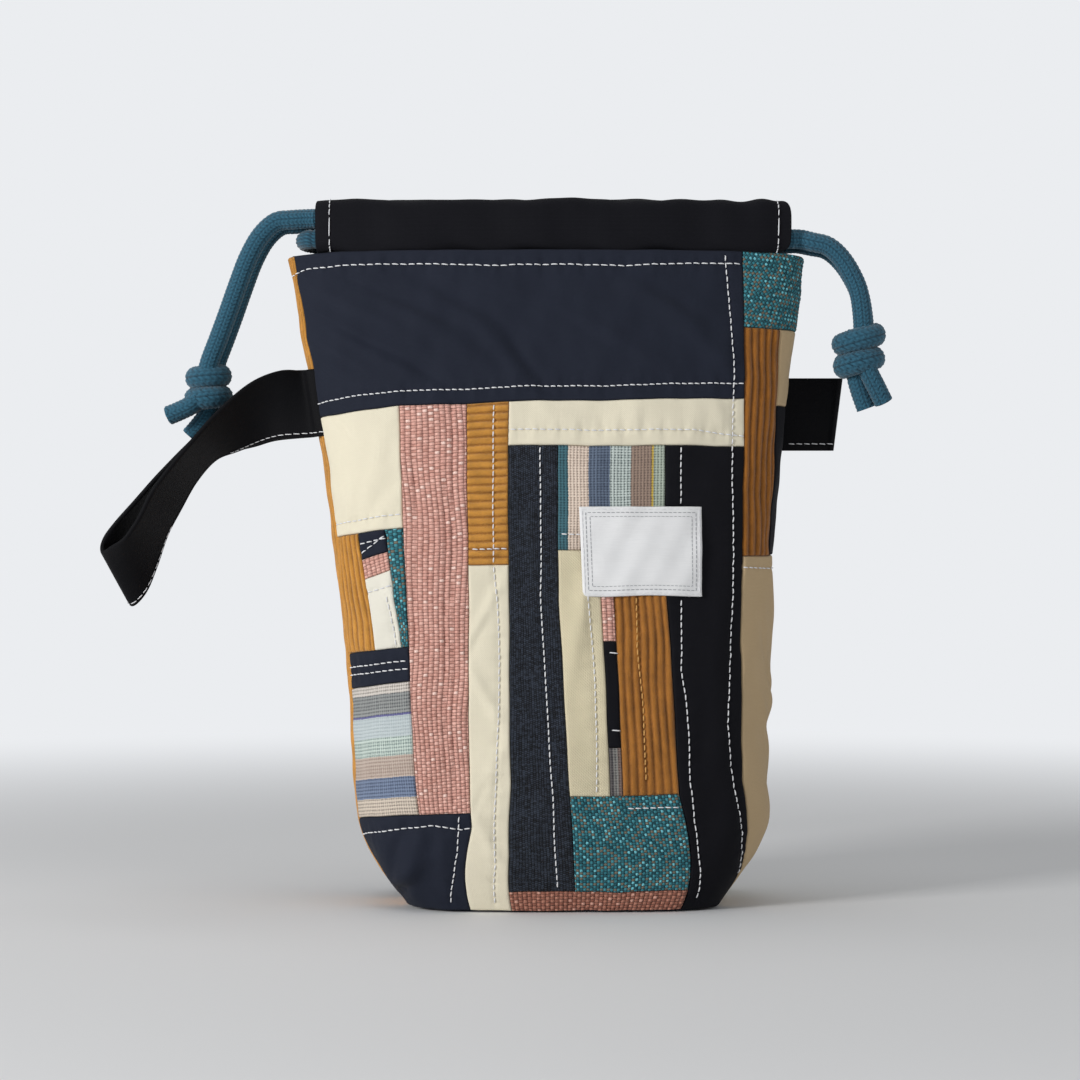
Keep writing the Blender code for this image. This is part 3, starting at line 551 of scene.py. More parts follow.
def cotton(name, colour, pitch=0.42, depth=0.07, drift=0.10, roughness=0.9, sheen=0.06, specular=0.25,
           twill=False):
    """Plain or twill cotton, with thicker threads here and there, a faint cloudiness, and painted shade
    between the threads that leaves their crowns lighter.
    """
    finish = Finish(name, roughness, sheen, specular)
    over, up, _ = finish.place()
    if twill:
        weave = ((over + up) / (pitch * 1.6)).wave() * 0.7 + (over / pitch).wave() * 0.3
    else:
        weave = crossed(over, up, pitch)
    slub = finish.noise(over * 0.25, up * 2.4, 1.0, 2.0)
    cloud = finish.noise(over, up, 0.035, 3.0)
    # The weave term is painted shade between the threads and painted light on their crowns; cloud and slub
    # are the cloth's own uneven tone.
    amount = (1.0 - drift) + (cloud - 0.5) * drift * 2.0 + (slub - 0.5) * drift + weave * drift * 1.2
    finish.feed("Base Color", finish.tint(colour, amount))
    finish.bump(weave + slub * 0.6, depth)
    return finish.material


def linen(name, dark, light):
    """An open weave of uneven threads, with painted shade in the small holes between them."""
    finish = Finish(name, 0.85, 0.04)
    over, up, _ = finish.place()
    wander = finish.noise(over * 0.3, up * 0.3, 0.6, 2.0)
    x = (over + wander * 0.8) / 0.86
    y = (up + wander * 0.8) / 0.70 + (x.whole() * 0.5).rest()
    bead = (x.arch() ** 0.6) * (y.arch() ** 0.7)
    slub = finish.chance(x.whole(), y.whole())
    thick = finish.noise(over * 0.08, up * 1.6, 1.0, 2.0) + finish.noise(over * 1.8, up * 0.08, 1.0, 2.0)
    # The bead term darkens the hollows between the threads as painted shade; thick and slub are the yarn's
    # own uneven tone.
    body = (bead * 0.9 + (thick - 1.0) * 0.8 + (slub - 0.5) * 0.7).held()
    finish.feed("Base Color", finish.mix(body, dark, light))
    finish.bump(body, 0.3)
    return finish.material


def crossings(x, y, tall, wide):
    """Height of thick yarns in a plain weave: tall upright floats, lower level ones between."""
    upright = 1.0 - ((x.whole() + y.whole()) * 0.5).rest() * 2.0
    aside = (x.rest() - 0.5) * (x.rest() - 0.5)
    above = (y.rest() - 0.5) * (y.rest() - 0.5)
    standing = (1.0 - aside / 0.25) * (1.0 - above / tall)
    lying = (1.0 - above / 0.25) * (1.0 - aside / wide) * 0.8
    return (standing * upright + lying * (1.0 - upright)).held() ** 0.5, upright


def tweed(name, upright_tones, level_tones, dark, cell, glint_share, fleck=None, fleck_share=0.0):
    """Thick uneven yarns, each crossing with its own tone, some with a painted highlight on their crowns, and
    painted shade in the gaps between them.
    """
    finish = Finish(name, 0.9, 0.12)
    over, up, _ = finish.place()
    x = over / cell[0]
    y = up / cell[1]
    bead, upright = crossings(x, y, TALL_FLOAT, WIDE_FLOAT)
    chance = finish.chance(x.whole(), y.whole())
    hair = finish.noise(over * 2.6, up * 2.6, 0.9, 3.0)
    mottle = (chance * 0.8 + (hair - 0.5) * 1.3).held()
    level = finish.mix(mottle, level_tones[0], level_tones[1])
    if fleck:
        marked = finish.chance(x.whole() + 37.0, y.whole() + 11.0) < fleck_share
        level = finish.mix(marked * 0.85, level, fleck)
    tone = finish.mix(upright, level, finish.mix(mottle, upright_tones[0], upright_tones[1]))
    # Painted highlight: a bright tone on the crowns of some yarns.
    painted_glint = finish.chance(x.whole() + 71.0, y.whole() + 5.0) < glint_share
    painted_glint = painted_glint * bead * hair * 1.7 * (upright + 0.35)
    tone = finish.mix((painted_glint - 0.25).held(), tone, upright_tones[2])
    # Painted shade: the dark colour fills the gaps between the yarns.
    gap_shade = (bead * 1.5 + (hair - 0.5) * 0.5 - 0.18).held()
    finish.feed("Base Color", finish.mix(gap_shade, dark, tone))
    finish.bump(bead + hair * 0.5, 0.35)
    return finish.material


def corduroy(name, axis, colour, dark):
    """Soft pile on raised wales; the relief itself is in the mesh, and the furrows between wales are darkened
    as painted shade.
    """
    finish = Finish(name, 0.85, 0.2)
    over, up, _ = finish.place()
    across, length = (over, up) if axis == "up" else (up, over)
    furrow_shade = (1.0 - (across / WALE).wave()) ** 2.5
    pile = finish.noise(across * 3.0, length * 0.9, 1.5, 4.0)
    streak = finish.noise(across * 5.0, length * 0.35, 1.0, 3.0)
    worn = finish.noise(across * 0.30, length * 0.16, 1.0, 3.0)
    # Painted shade: the furrows between wales take the dark colour.
    share = (1.02 - furrow_shade * 0.66 + (pile - 0.5) * 0.9 + (streak - 0.5) * 0.8).held()
    finish.feed("Base Color", finish.tint(finish.mix(share, dark, colour), 0.62 + worn * 0.76))
    finish.bump(pile + streak, 0.3)
    return finish.material


def striped(name, axis, stripes):
    """Loose cotton in bands, each with its thread colour and a darker colour painted as shade between the
    threads.
    """
    finish = Finish(name, 0.92, 0.08)
    over, up, _ = finish.place()
    across, length = (over, up) if axis == "up" else (up, over)
    total = sum(width for width, *_ in stripes)
    threads = []
    gap_shades = []
    run = 0.0
    for width, thread, gap_shade in stripes:
        threads.append((run / total, thread))
        gap_shades.append((run / total, gap_shade))
        run += width
    edge = finish.noise(across * 0.2, length * 1.4, 1.0, 2.0)
    share = (across + (edge - 0.5) * 0.7) / total
    x = across / 1.18
    y = length / 0.92
    thick = finish.chance(x.whole(), 3.0)
    thin = finish.chance(7.0, y.whole())
    hair = finish.noise(across * 2.4, length * 1.2, 1.0, 3.0)
    cover = x.arch() ** 1.5 * (0.45 + thick * 0.5) + y.arch() ** 1.5 * (0.35 + thin * 0.45)
    cover = cover + (hair - 0.5) * 0.9
    low, high = (finish.ramp(share, stops, "CONSTANT") for stops in (gap_shades, threads))
    # Painted shade: between the threads each band takes its darker colour.
    finish.feed("Base Color", finish.mix(cover.held(), low, high))
    finish.bump(cover, 0.16)
    return finish.material


def knitted_cord(name):
    """Cotton stitches, with painted shade in the holes between them."""
    finish = Finish(name, 0.92, 0.25)
    around, length, height = finish.place()
    fibre = finish.noise(around, length, 1.8, 3.0)
    # The stitch height from the mesh darkens the holes: painted shade.
    share = (height * 1.05 + (fibre - 0.5) * 0.6).held()
    finish.feed("Base Color", finish.mix(share, CORD_HOLE_SHADE, CORD))
    finish.bump(fibre, 0.15)
    return finish.material


def plain_thread(name, colour):
    """Twisted sewing thread, with painted shade in the grooves between its plies."""
    finish = Finish(name, 0.7, 0.1)
    over, up, _ = finish.place()
    ply_shading = ((over + up * 0.8) / 0.22).wave()
    finish.feed("Base Color", finish.tint(colour, 0.86 + ply_shading * 0.18))
    return finish.material


def label_cloth(name):
    """White satin weave with fine level ribs, with painted shade between the ribs and a painted streaky satin
    sheen.
    """
    finish = Finish(name, 0.55, 0.2, 0.4)
    over, up, _ = finish.place()
    rib = (up / 0.36).wave()
    satin = finish.noise(over * 0.16, up * 2.2, 1.0, 3.0)
    # The rib term paints shade between the ribs and the satin term paints a streaky sheen.
    finish.feed("Base Color", finish.tint(LABEL_WHITE, 0.84 + rib * 0.09 + satin * 0.10))
    finish.bump(rib, 0.07)
    return finish.material


WALE = 2.8
PINK_CELL = (1.88, 1.06)
TEAL_CELL = (1.22, 0.98)
TALL_FLOAT, WIDE_FLOAT = 0.46, 0.36
COTTON_NAVY = cotton("navy_cotton", NAVY, 0.40, 0.05, 0.12, 0.7, 0.03, specular=0.08)
COTTON_BLACK = cotton("black_cotton", BLACK, 0.40, 0.05, 0.12, 0.7, 0.02, specular=0.08)
TAPE = cotton("black_tape", TAPE_BLACK, 0.55, 0.06, 0.12, 0.6, 0.01, specular=0.08)
COTTON_CREAM = cotton("cream_twill", CREAM, 0.45, 0.06, 0.06, twill=True)
COTTON_IVORY = cotton("ivory_cotton", IVORY, 0.42, 0.06, 0.05)
COTTON_KHAKI = cotton("khaki_cotton", KHAKI, 0.62, 0.12, 0.11, twill=True)
COTTON_TAN = cotton("tan_cotton", TAN, 0.45, 0.07, 0.07)
# The linen's first colour is the painted shade in its holes.
LINEN = linen("navy_linen", linear(6, 7, 10), linear(50, 57, 69))
# In each tweed the third upright tone is the painted highlight, and the colour after the level tones is the
# painted shade between yarns.
TWEED_PINK = tweed(
    "pink_tweed", (linear(212, 158, 144), linear(236, 190, 176), linear(246, 216, 204)),
    (linear(194, 142, 128), linear(222, 172, 158)), linear(122, 76, 66), PINK_CELL, 0.10,
)
# A darker, redder copy of the pink tweed for the strip at the foot, standing partly for painted shade near
# the floor.
TWEED_PINK_SHADED = tweed(
    "pink_tweed_shaded", (linear(164, 110, 92), linear(184, 130, 110), linear(214, 164, 146)),
    (linear(140, 88, 72), linear(160, 106, 88)), linear(86, 48, 38), PINK_CELL, 0.15,
)
TWEED_TEAL = tweed(
    "teal_tweed", (linear(40, 110, 122), linear(74, 152, 164), linear(122, 204, 216)),
    (linear(22, 70, 80), linear(52, 110, 120)), linear(10, 24, 28), TEAL_CELL, 0.20,
    linear(124, 112, 94), 0.45,
)
# The last colour of each corduroy is the painted shade in its furrows.
CORDUROY_UP = corduroy("gold_corduroy_left", "up", GOLD, GOLD_FURROW_SHADE)
CORDUROY_ACROSS = corduroy("gold_corduroy_across", "across", GOLD, GOLD_FURROW_SHADE)
CORDUROY_LOW = corduroy("gold_corduroy_low", "up", GOLD_LOW, linear(92, 52, 16))
CORDUROY_SIDE = corduroy("gold_corduroy_side", "up", GOLD_SIDE_SHADED, linear(80, 42, 12))
# Each stripe: its width, its thread colour, and the darker colour painted as shade between its threads.
SAND = linear(222, 204, 188), linear(134, 114, 102)
MINT = linear(196, 206, 201), linear(56, 70, 72)
STRIPES_UPPER = striped("upper_stripes", "up", (
    (3.6, linear(68, 108, 118), linear(26, 50, 58)), (7.2, *SAND),
    (7.6, linear(100, 113, 132), linear(46, 54, 70)),
    (7.2, *MINT), (7.4, linear(152, 131, 117), linear(94, 79, 73)),
    (0.8, linear(196, 168, 76), linear(120, 100, 50)),
    (12.0, linear(172, 182, 168), linear(84, 94, 86)),
))
STRIPES_LOWER = striped("lower_stripes", "across", (
    (6.2, linear(210, 196, 180), linear(120, 112, 104)), (7.2, linear(120, 134, 158), linear(58, 66, 88)),
    (7.4, linear(190, 173, 161), linear(140, 124, 114)), (6.6, linear(196, 208, 200), linear(104, 122, 118)),
    (7.2, linear(188, 197, 198), linear(160, 170, 174)), (0.9, linear(112, 112, 152), linear(70, 70, 110)),
    (7.0, linear(150, 152, 150), linear(74, 77, 80)), (8.0, linear(208, 200, 192), linear(124, 118, 110)),
))
STRIPES_SLIVER = striped("sliver_stripes", "up", (
    (1.6, linear(92, 88, 88), linear(40, 40, 44)), (1.6, linear(132, 130, 126), linear(56, 56, 58)),
    (4.0, linear(136, 116, 108), linear(62, 54, 52)),
))
CORD_CLOTH = knitted_cord("blue_knitted_cord")
THREAD_CLOTH = plain_thread("white_thread", THREAD_WHITE)
THREAD_GREY = plain_thread("grey_thread", linear(150, 152, 156))
THREAD_GOLD = plain_thread("gold_thread", linear(212, 162, 92))
LABEL_CLOTH = label_cloth("white_woven_label")
LINING_CLOTH = cotton("natural_lining", NATURAL, 0.5, 0.06, 0.06)

# The frame's slot of each cloth that patches are cut from
SLOTS = {
    finish.name: slot for slot, finishes in (
        ("navy_cotton", (COTTON_NAVY,)), ("black_cotton", (COTTON_BLACK,)), ("cream_cotton", (COTTON_CREAM,)),
        ("ivory_cotton", (COTTON_IVORY,)), ("khaki_cotton", (COTTON_KHAKI,)), ("tan_cotton", (COTTON_TAN,)),
        ("navy_linen", (LINEN,)), ("pink_tweed", (TWEED_PINK, TWEED_PINK_SHADED)), ("teal_tweed", (TWEED_TEAL,)),
        ("gold_corduroy", (CORDUROY_UP, CORDUROY_ACROSS, CORDUROY_LOW, CORDUROY_SIDE)),
        ("striped_cotton", (STRIPES_UPPER, STRIPES_LOWER, STRIPES_SLIVER)),
    ) for finish in finishes
}


# Meshes

def make_mesh(name, points, faces, places, finish, smooth=True):
    data = bpy.data.meshes.new(name)
    data.vertices.add(len(points))
    data.vertices.foreach_set("co", np.asarray(points, np.float32).ravel())
    sizes = np.array([len(face) for face in faces], np.int32)
    data.loops.add(int(sizes.sum()))
    data.loops.foreach_set("vertex_index", np.concatenate([np.asarray(face, np.int32) for face in faces]))
    data.polygons.add(len(faces))
    data.polygons.foreach_set("loop_start", np.concatenate(([0], np.cumsum(sizes)[:-1])).astype(np.int32))
    data.update(calc_edges=True)
    data.validate()
    if smooth:
        data.polygons.foreach_set("use_smooth", np.ones(len(data.polygons), bool))
    spots = data.attributes.new("cloth_place", "FLOAT_VECTOR", "POINT")
    spots.data.foreach_set("vector", np.asarray(places, np.float32).ravel())
    data.materials.append(finish)
    made = bpy.data.objects.new(name, data)
    bpy.context.scene.collection.objects.link(made)
    return made


def dress(piece, slot, *nodes):
    """Lets a piece ride on the bag and stand for CAD nodes, which it hides; the slot is not used."""
    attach(piece, "root")
    if nodes:
        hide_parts(*nodes)
    return piece


def grid_faces(columns, rows, start=0, flip=False, ring=False):
    """Four-sided faces between rows of points; a ring closes each row on itself."""
    index = start + np.arange(rows * columns).reshape(rows, columns)
    if ring:
        index = np.hstack((index, index[:, :1]))
    corners = (index[:-1, :-1], index[:-1, 1:], index[1:, 1:], index[1:, :-1])
    faces = np.stack([corner.ravel() for corner in corners], 1)
    return faces[:, ::-1] if flip else faces


def sheet_faces(columns, rows):
    """The outer face, the inner face and the four edges of a thin cloth."""
    count = columns * rows
    index = np.arange(count).reshape(rows, columns)
    rim = np.concatenate((index[0, :], index[1:, -1], index[-1, -2::-1], index[-2:0:-1, 0]))
    after = np.roll(rim, -1)
    edge = np.stack((after, rim, rim + count, after + count), 1)
    return np.vstack((grid_faces(columns, rows), grid_faces(columns, rows, count, True), edge))


def every_few(count, few):
    """Numbers from 0 to count - 1, a few apart, with both ends."""
    return np.unique(np.linspace(0, count - 1, max(3, count // few)).round().astype(int))


def lined_faces(columns, rows, over_at, up_at):
    """A fine outer face, a coarser inner face and the edges that join them."""
    outer = np.arange(rows * columns).reshape(rows, columns)
    inner = rows * columns + np.arange(len(up_at) * len(over_at)).reshape(len(up_at), len(over_at))
    faces = [list(face) for face in grid_faces(columns, rows)]
    faces += [list(face) for face in grid_faces(len(over_at), len(up_at), rows * columns, True)]
    for number, (start, end) in enumerate(zip(over_at, over_at[1:])):
        faces.append([*outer[0, start:end + 1][::-1], inner[0, number], inner[0, number + 1]])
        faces.append([*outer[-1, start:end + 1], inner[-1, number + 1], inner[-1, number]])
    for number, (start, end) in enumerate(zip(up_at, up_at[1:])):
        faces.append([*outer[start:end + 1, -1][::-1], inner[number, -1], inner[number + 1, -1]])
        faces.append([*outer[start:end + 1, 0], inner[number + 1, 0], inner[number, 0]])
    return faces


def edged(length, step, edge=(0.12, 0.35, 0.7, 1.2)):
    """Places across a patch, close together where its edge turns under."""
    edge = [part for part in edge if part < length * 0.4]
    middle = np.linspace(edge[-1], length - edge[-1], max(2, int(round((length - 2 * edge[-1]) / step)) + 1))
    return np.concatenate(([0], edge[:-1], middle, [length - part for part in edge[-2::-1]], [length]))


def turned_edge(distance, radius=0.8, drop=0.75):
    """How far a turned edge falls towards its seam."""
    near = np.clip(1 - distance / radius, 0, 1)
    return -drop * (1 - np.sqrt(np.clip(1 - near ** 2, 0, 1)))


def wales_up(over, up):
    """Piled wales with narrow furrows between them, a little fuller here and there."""
    full = 1 + 0.18 * np.sin(over * 1.3 + 0.4 * np.sin(up * 0.11)) * np.sin(up * 0.21 + over)
    return 0.60 * full * (1 - np.abs(np.cos(math.pi * over / WALE)) ** 3) - 0.45


def wales_across(over, up):
    return wales_up(up, over)


def yarns(cell, depth):
    """Upright floats of thick yarn and lower level ones between them, each a little different."""
    def relief(over, up):
        x = over / cell[0]
        y = up / cell[1]
        column, row = np.floor(x), np.floor(y)
        upright = np.mod(column + row, 2) < 0.5
        aside = (x - column - 0.5) ** 2
        above = (y - row - 0.5) ** 2
        standing = (1 - aside / 0.25) * (1 - above / TALL_FLOAT)
        lying = (1 - above / 0.25) * (1 - aside / WIDE_FLOAT) * 0.8
        bead = np.sqrt(np.clip(np.where(upright, standing, lying), 0, 1))
        mixed = np.sin(column * 12.9898 + row * 78.233) * 43758.5453
        own = 0.62 + 0.76 * (mixed - np.floor(mixed))
        return depth * (bead * own - 0.55)
    return relief


def wandering(over, up, wide):
    """Threads never run quite straight."""
    aside = wide * (np.sin(0.045 * up + 0.4) + 0.4 * np.sin(0.15 * up + 0.09 * over + 1.7))
    above = 0.5 * wide * (np.sin(0.07 * over + 1.1) + 0.4 * np.sin(0.19 * over + 0.06 * up))
    return over + aside, up + above


def patch(name, finish, left, right, low, high, step=0.75, up_step=None, relief=None, turn=0.0,
          wander=0.25, bias=0.0, few=6):
    """One patch of cloth between its four seams, with its edges turned under."""
    middle = 0.5 * (along(left, MIDDLE_HEIGHT) + along(right, MIDDLE_HEIGHT) + turn)
    foot = float(along(low, middle))
    head = float(along(high, middle))
    centre = 0.5 * (foot + head)
    width = float(along(right, centre) + turn - along(left, centre))
    overs = edged(width, step) / width
    ups = edged(head - foot, up_step or step) / (head - foot)
    over, up = np.meshgrid(overs, ups)
    z = foot + (head - foot) * up
    for _ in range(5):
        start = along(left, z) + SEAM_GAP
        end = along(right, z) + turn - SEAM_GAP
        s = start + (end - start) * over
        bottom = along(low, np.mod(s, ROUND_END)) + SEAM_GAP
        top = along(high, np.mod(s, ROUND_END)) - SEAM_GAP
        z = bottom + (top - bottom) * up
    flat_over = over * width
    flat_up = up * (head - foot)
    edge = np.minimum(
        np.minimum(flat_over, width - flat_over), np.minimum(flat_up, head - foot - flat_up)
    )
    out = turned_edge(edge)
    thread_over, thread_up = wandering(flat_over, flat_up, wander)
    cosine, sine = math.cos(math.radians(bias)), math.sin(math.radians(bias))
    thread_over, thread_up = thread_over * cosine + thread_up * sine, thread_up * cosine - thread_over * sine
    if relief is not None:
        out = out + relief(thread_over, thread_up) * np.clip(edge / 0.45, 0, 1)
    rows, columns = s.shape
    over_at, up_at = every_few(columns, few), every_few(rows, few)
    coarse = np.ix_(up_at, over_at)
    outer = on_body(s, z, out)
    inner = on_body(s[coarse], z[coarse], -CLOTH)
    spot = np.stack((thread_over, thread_up, np.zeros(s.shape)), -1)
    piece = make_mesh(
        name + "_cloth", np.vstack((outer.reshape(-1, 3), inner.reshape(-1, 3))),
        lined_faces(columns, rows, over_at, up_at),
        np.vstack((spot.reshape(-1, 3), spot[coarse].reshape(-1, 3))), finish,
    )
    return dress(piece, SLOTS[finish.name], name)


def stitch_run(name, place, line, finish, slot, pitch=STITCH_PITCH, thick=THREAD, skip=None,
               slant=STITCH_SLANT):
    """A row of machine stitches: short rounded threads that lie a little askew and dip in at both ends."""
    route = np.array(line, float)
    run = np.concatenate(([0], np.cumsum(np.linalg.norm(np.diff(route, axis=0), axis=1))))
    count = max(1, int(run[-1] / pitch))
    length = STITCH_SHARE * run[-1] / count
    shares, girths, lifts = STITCH_SECTIONS.T
    points = []
    faces = []
    places = []
    sides = STITCH_SIDES
    for index in range(count):
        at = run[-1] * (index + 0.5) / count + (shares - 0.5) * length
        u = np.interp(at, run, route[:, 0])
        v = np.interp(at, run, route[:, 1])
        if skip is not None and skip(u.mean(), v.mean()):
            continue
        centre = place(u, v, lifts * thick + STITCH_LIFT) * 1000
        ahead = centre[-1] - centre[0]
        ahead /= np.linalg.norm(ahead)
        out = place(u[2:3], v[2:3], np.array([1.0]))[0] - place(u[2:3], v[2:3], np.array([0.0]))[0]
        out /= np.linalg.norm(out)
        side = np.cross(ahead, out)
        centre = centre + side * ((shares - 0.5) * length * slant)[:, None]
        base = len(points)
        for ring in range(len(shares)):
            for corner in range(sides):
                angle = 2 * math.pi * corner / sides
                reach = thick * girths[ring]
                points.append(centre[ring] + reach * (math.cos(angle) * side + math.sin(angle) * out))
                places.append((at[ring], angle * thick, 0.0))
        faces += [list(face) for face in grid_faces(sides, len(shares), base, ring=True)]
        faces.append([base + corner for corner in range(sides)][::-1])
        faces.append([base + sides * (len(shares) - 1) + corner for corner in range(sides)])
    piece = make_mesh(name, np.array(points) * 0.001, faces, places, finish)
    return dress(piece, slot)


def patchwork():
    tweed_pink = yarns(PINK_CELL, 0.6)
    tweed_teal = yarns(TEAL_CELL, 0.42)
    patch("front_top_band", COTTON_NAVY, LEFT_SEAM, BLACK_RIGHT, BAND_LOW, TOP)
    patch("cream_upper_left", COTTON_CREAM, LEFT_SEAM, PINK_LEFT, CREAM_LOW, BAND_LOW)
    patch("pink_tweed_column", TWEED_PINK, PINK_LEFT, PINK_RIGHT, CORNER_TOP, BAND_LOW, 0.38, 0.27,
          tweed_pink, wander=1.0)
    patch("corduroy_cross_ribbed", CORDUROY_ACROSS, PINK_RIGHT, LINEN_LEFT, CROSS_LOW, BAND_LOW, 0.7, 0.33,
          wales_across)
    patch("cream_long_column", COTTON_CREAM, PINK_RIGHT, LINEN_LEFT, FOOT, CROSS_LOW)
    patch("cream_upper_strip", COTTON_CREAM, LINEN_LEFT, BLACK_RIGHT, STRIP_LOW, BAND_LOW)
    patch("navy_linen_column", LINEN, LINEN_LEFT, LINEN_RIGHT, TWEED_LOW, STRIP_LOW)
    patch("striped_upper_patch", STRIPES_UPPER, LINEN_RIGHT, BLACK_LEFT, STRIPED_LOW, STRIP_LOW)
    patch("black_right_column", COTTON_BLACK, BLACK_LEFT, BLACK_RIGHT, FOOT, STRIP_LOW)
    patch("khaki_lower_column", COTTON_KHAKI, LINEN_RIGHT, KHAKI_RIGHT, TWEED_TOP, STRIPED_LOW)
    patch("pink_sliver", TWEED_PINK, KHAKI_RIGHT, GOLD_LEFT, PINK_SLIVER_LOW, STRIPED_LOW, 0.40, 0.30,
          tweed_pink)
    patch("black_sliver", COTTON_BLACK, KHAKI_RIGHT, GOLD_LEFT, BLACK_SLIVER_LOW, PINK_SLIVER_LOW)
    patch("striped_sliver", STRIPES_SLIVER, KHAKI_RIGHT, GOLD_LEFT, TWEED_TOP, BLACK_SLIVER_LOW)
    patch("corduroy_lower", CORDUROY_LOW, GOLD_LEFT, BLACK_LEFT, TWEED_TOP, STRIPED_LOW, 0.33, 0.8, wales_up,
          wander=0.6)
    patch("teal_tweed_base_patch", TWEED_TEAL, LINEN_RIGHT, BLACK_LEFT, TWEED_LOW, TWEED_TOP, 0.30, 0.26,
          tweed_teal, wander=0.8)
    patch("pink_base_strip", TWEED_PINK_SHADED, LINEN_LEFT, BLACK_LEFT, FOOT, TWEED_LOW, 0.42, 0.32, tweed_pink)
    patch("corduroy_left_small", CORDUROY_UP, LEFT_SEAM, SMALL_GOLD_RIGHT, NAVY_BAND_TOP, CREAM_LOW, 0.33,
          0.8, wales_up, wander=0.7)
    patch("navy_small_left", COTTON_NAVY, SMALL_GOLD_RIGHT, SMALL_TEAL_LEFT, NAVY_SMALL_LOW, CREAM_LOW)
    patch("pink_small_left", TWEED_PINK, SMALL_GOLD_RIGHT, SMALL_TEAL_LEFT, PINK_SMALL_LOW, NAVY_SMALL_LOW,
          0.4, 0.3, tweed_pink)
    patch("ivory_small_left", COTTON_IVORY, SMALL_GOLD_RIGHT, SMALL_TEAL_LEFT, NAVY_BAND_TOP, PINK_SMALL_LOW)
    patch("teal_narrow_left", TWEED_TEAL, SMALL_TEAL_LEFT, PINK_LEFT, NAVY_BAND_TOP, CREAM_LOW, 0.30, 0.26,
          tweed_teal)
    patch("navy_band_left", COTTON_NAVY, LEFT_SEAM, PINK_LEFT, NAVY_BAND_LOW, NAVY_BAND_TOP)
    patch("striped_lower_left", STRIPES_LOWER, LEFT_SEAM, PINK_LEFT, CORNER_TOP, NAVY_BAND_LOW)
    patch("navy_corner_lower_left", COTTON_NAVY, LEFT_SEAM, PINK_RIGHT, FOOT, CORNER_TOP)
    patch("teal_tweed_side", TWEED_TEAL, BLACK_RIGHT, RIGHT_SEAM, SIDE_TWEED_LOW, TOP, 0.34, 0.30,
          tweed_teal, bias=34.0)
    patch("corduroy_side", CORDUROY_SIDE, BLACK_RIGHT, SIDE_STRIP, SIDE_GOLD_LOW, SIDE_TWEED_LOW, 0.33, 0.8,
          wales_up, wander=0.5)
    patch("tan_side_strip", COTTON_TAN, SIDE_STRIP, RIGHT_SEAM, TAN_STRIP_LOW, SIDE_TWEED_LOW)
    patch("black_side_strip", COTTON_BLACK, SIDE_STRIP, RIGHT_SEAM, SIDE_GOLD_LOW, TAN_STRIP_LOW)
    patch("tan_side_lower", COTTON_TAN, BLACK_RIGHT, RIGHT_SEAM, FOOT, SIDE_GOLD_LOW)
    coarse = {"step": 1.8, "few": 3}
    patch("back_top_band", COTTON_NAVY, RIGHT_SEAM, BACK_EDGE, BACK_BAND_LOW, TOP, **coarse)
    patch("back_cream_column", COTTON_CREAM, RIGHT_SEAM, BACK_FIRST, FOOT, BACK_BAND_LOW, **coarse)
    patch("back_linen_column", LINEN, BACK_FIRST, BACK_SECOND, FOOT, BACK_BAND_LOW, **coarse)
    patch("back_tan_column", COTTON_TAN, BACK_SECOND, BACK_THIRD, FOOT, BACK_BAND_LOW, **coarse)
    patch("back_black_column", COTTON_BLACK, BACK_THIRD, BACK_EDGE, FOOT, BACK_BAND_LOW, **coarse)
    patch("corduroy_back_edge", CORDUROY_UP, BACK_EDGE, LEFT_SEAM, FOOT, TOP, 0.35, 1.2, wales_up, GIRTH,
          wander=0.6)


LABEL_CENTRE = (130.7, 125.0)
LABEL_SIZE = (41.5, 31.0)
# Rows on the label: name, distance from its edge, thickness, pitch, thread
LABEL_ROWS = (
    ("label_seam", 0.9, 0.12, 2.2, THREAD_CLOTH), ("label_border_outer", 2.1, 0.11, 1.6, THREAD_GREY),
    ("label_border_inner", 3.5, 0.09, 1.4, THREAD_GREY),
)


def under_label(s, z):
    return abs(s - LABEL_CENTRE[0]) < LABEL_SIZE[0] / 2 and abs(z - LABEL_CENTRE[1]) < LABEL_SIZE[1] / 2


def topstitching():
    """Every row of thread on the patches, apart from what the label hides."""
    for name, line in STITCH_LINES.items():
        pitch = OTHER_PITCHES.get(name, STITCH_PITCH)
        finish = THREAD_GOLD if name == "stitches_gold_sunk" else THREAD_CLOTH
        stitch_run(name, on_body, line, finish, "white_label", pitch, skip=under_label)


def label():
    """A plain white woven label, sewn down round its edge, with a woven double line inside."""
    width, height = LABEL_SIZE
    over, up = np.meshgrid(np.linspace(-width / 2, width / 2, 72), np.linspace(-height / 2, height / 2, 54))
    s, z = label_skew(over, up)
    edge = np.minimum(width / 2 - np.abs(over), height / 2 - np.abs(up))
    rise = label_rise(over, up) + turned_edge(edge, 0.6, 0.3)
    outer = on_label(s, z, rise)
    inner = on_label(s, z, rise - 0.45)
    spot = np.stack((over, up, edge), -1).reshape(-1, 3)
    piece = make_mesh("woven_label_cloth", np.vstack((outer.reshape(-1, 3), inner.reshape(-1, 3))),
                      sheet_faces(72, 54), np.vstack((spot, spot)), LABEL_CLOTH)
    dress(piece, "white_label", "woven_label")
    for name, inset, thick, pitch, finish in LABEL_ROWS:
        x, y = width / 2 - inset, height / 2 - inset
        stitch_run(name, on_label_face, [(-x, -y), (x, -y), (x, y), (-x, y), (-x, -y)], finish, "white_label",
                   pitch, thick, slant=0.0)


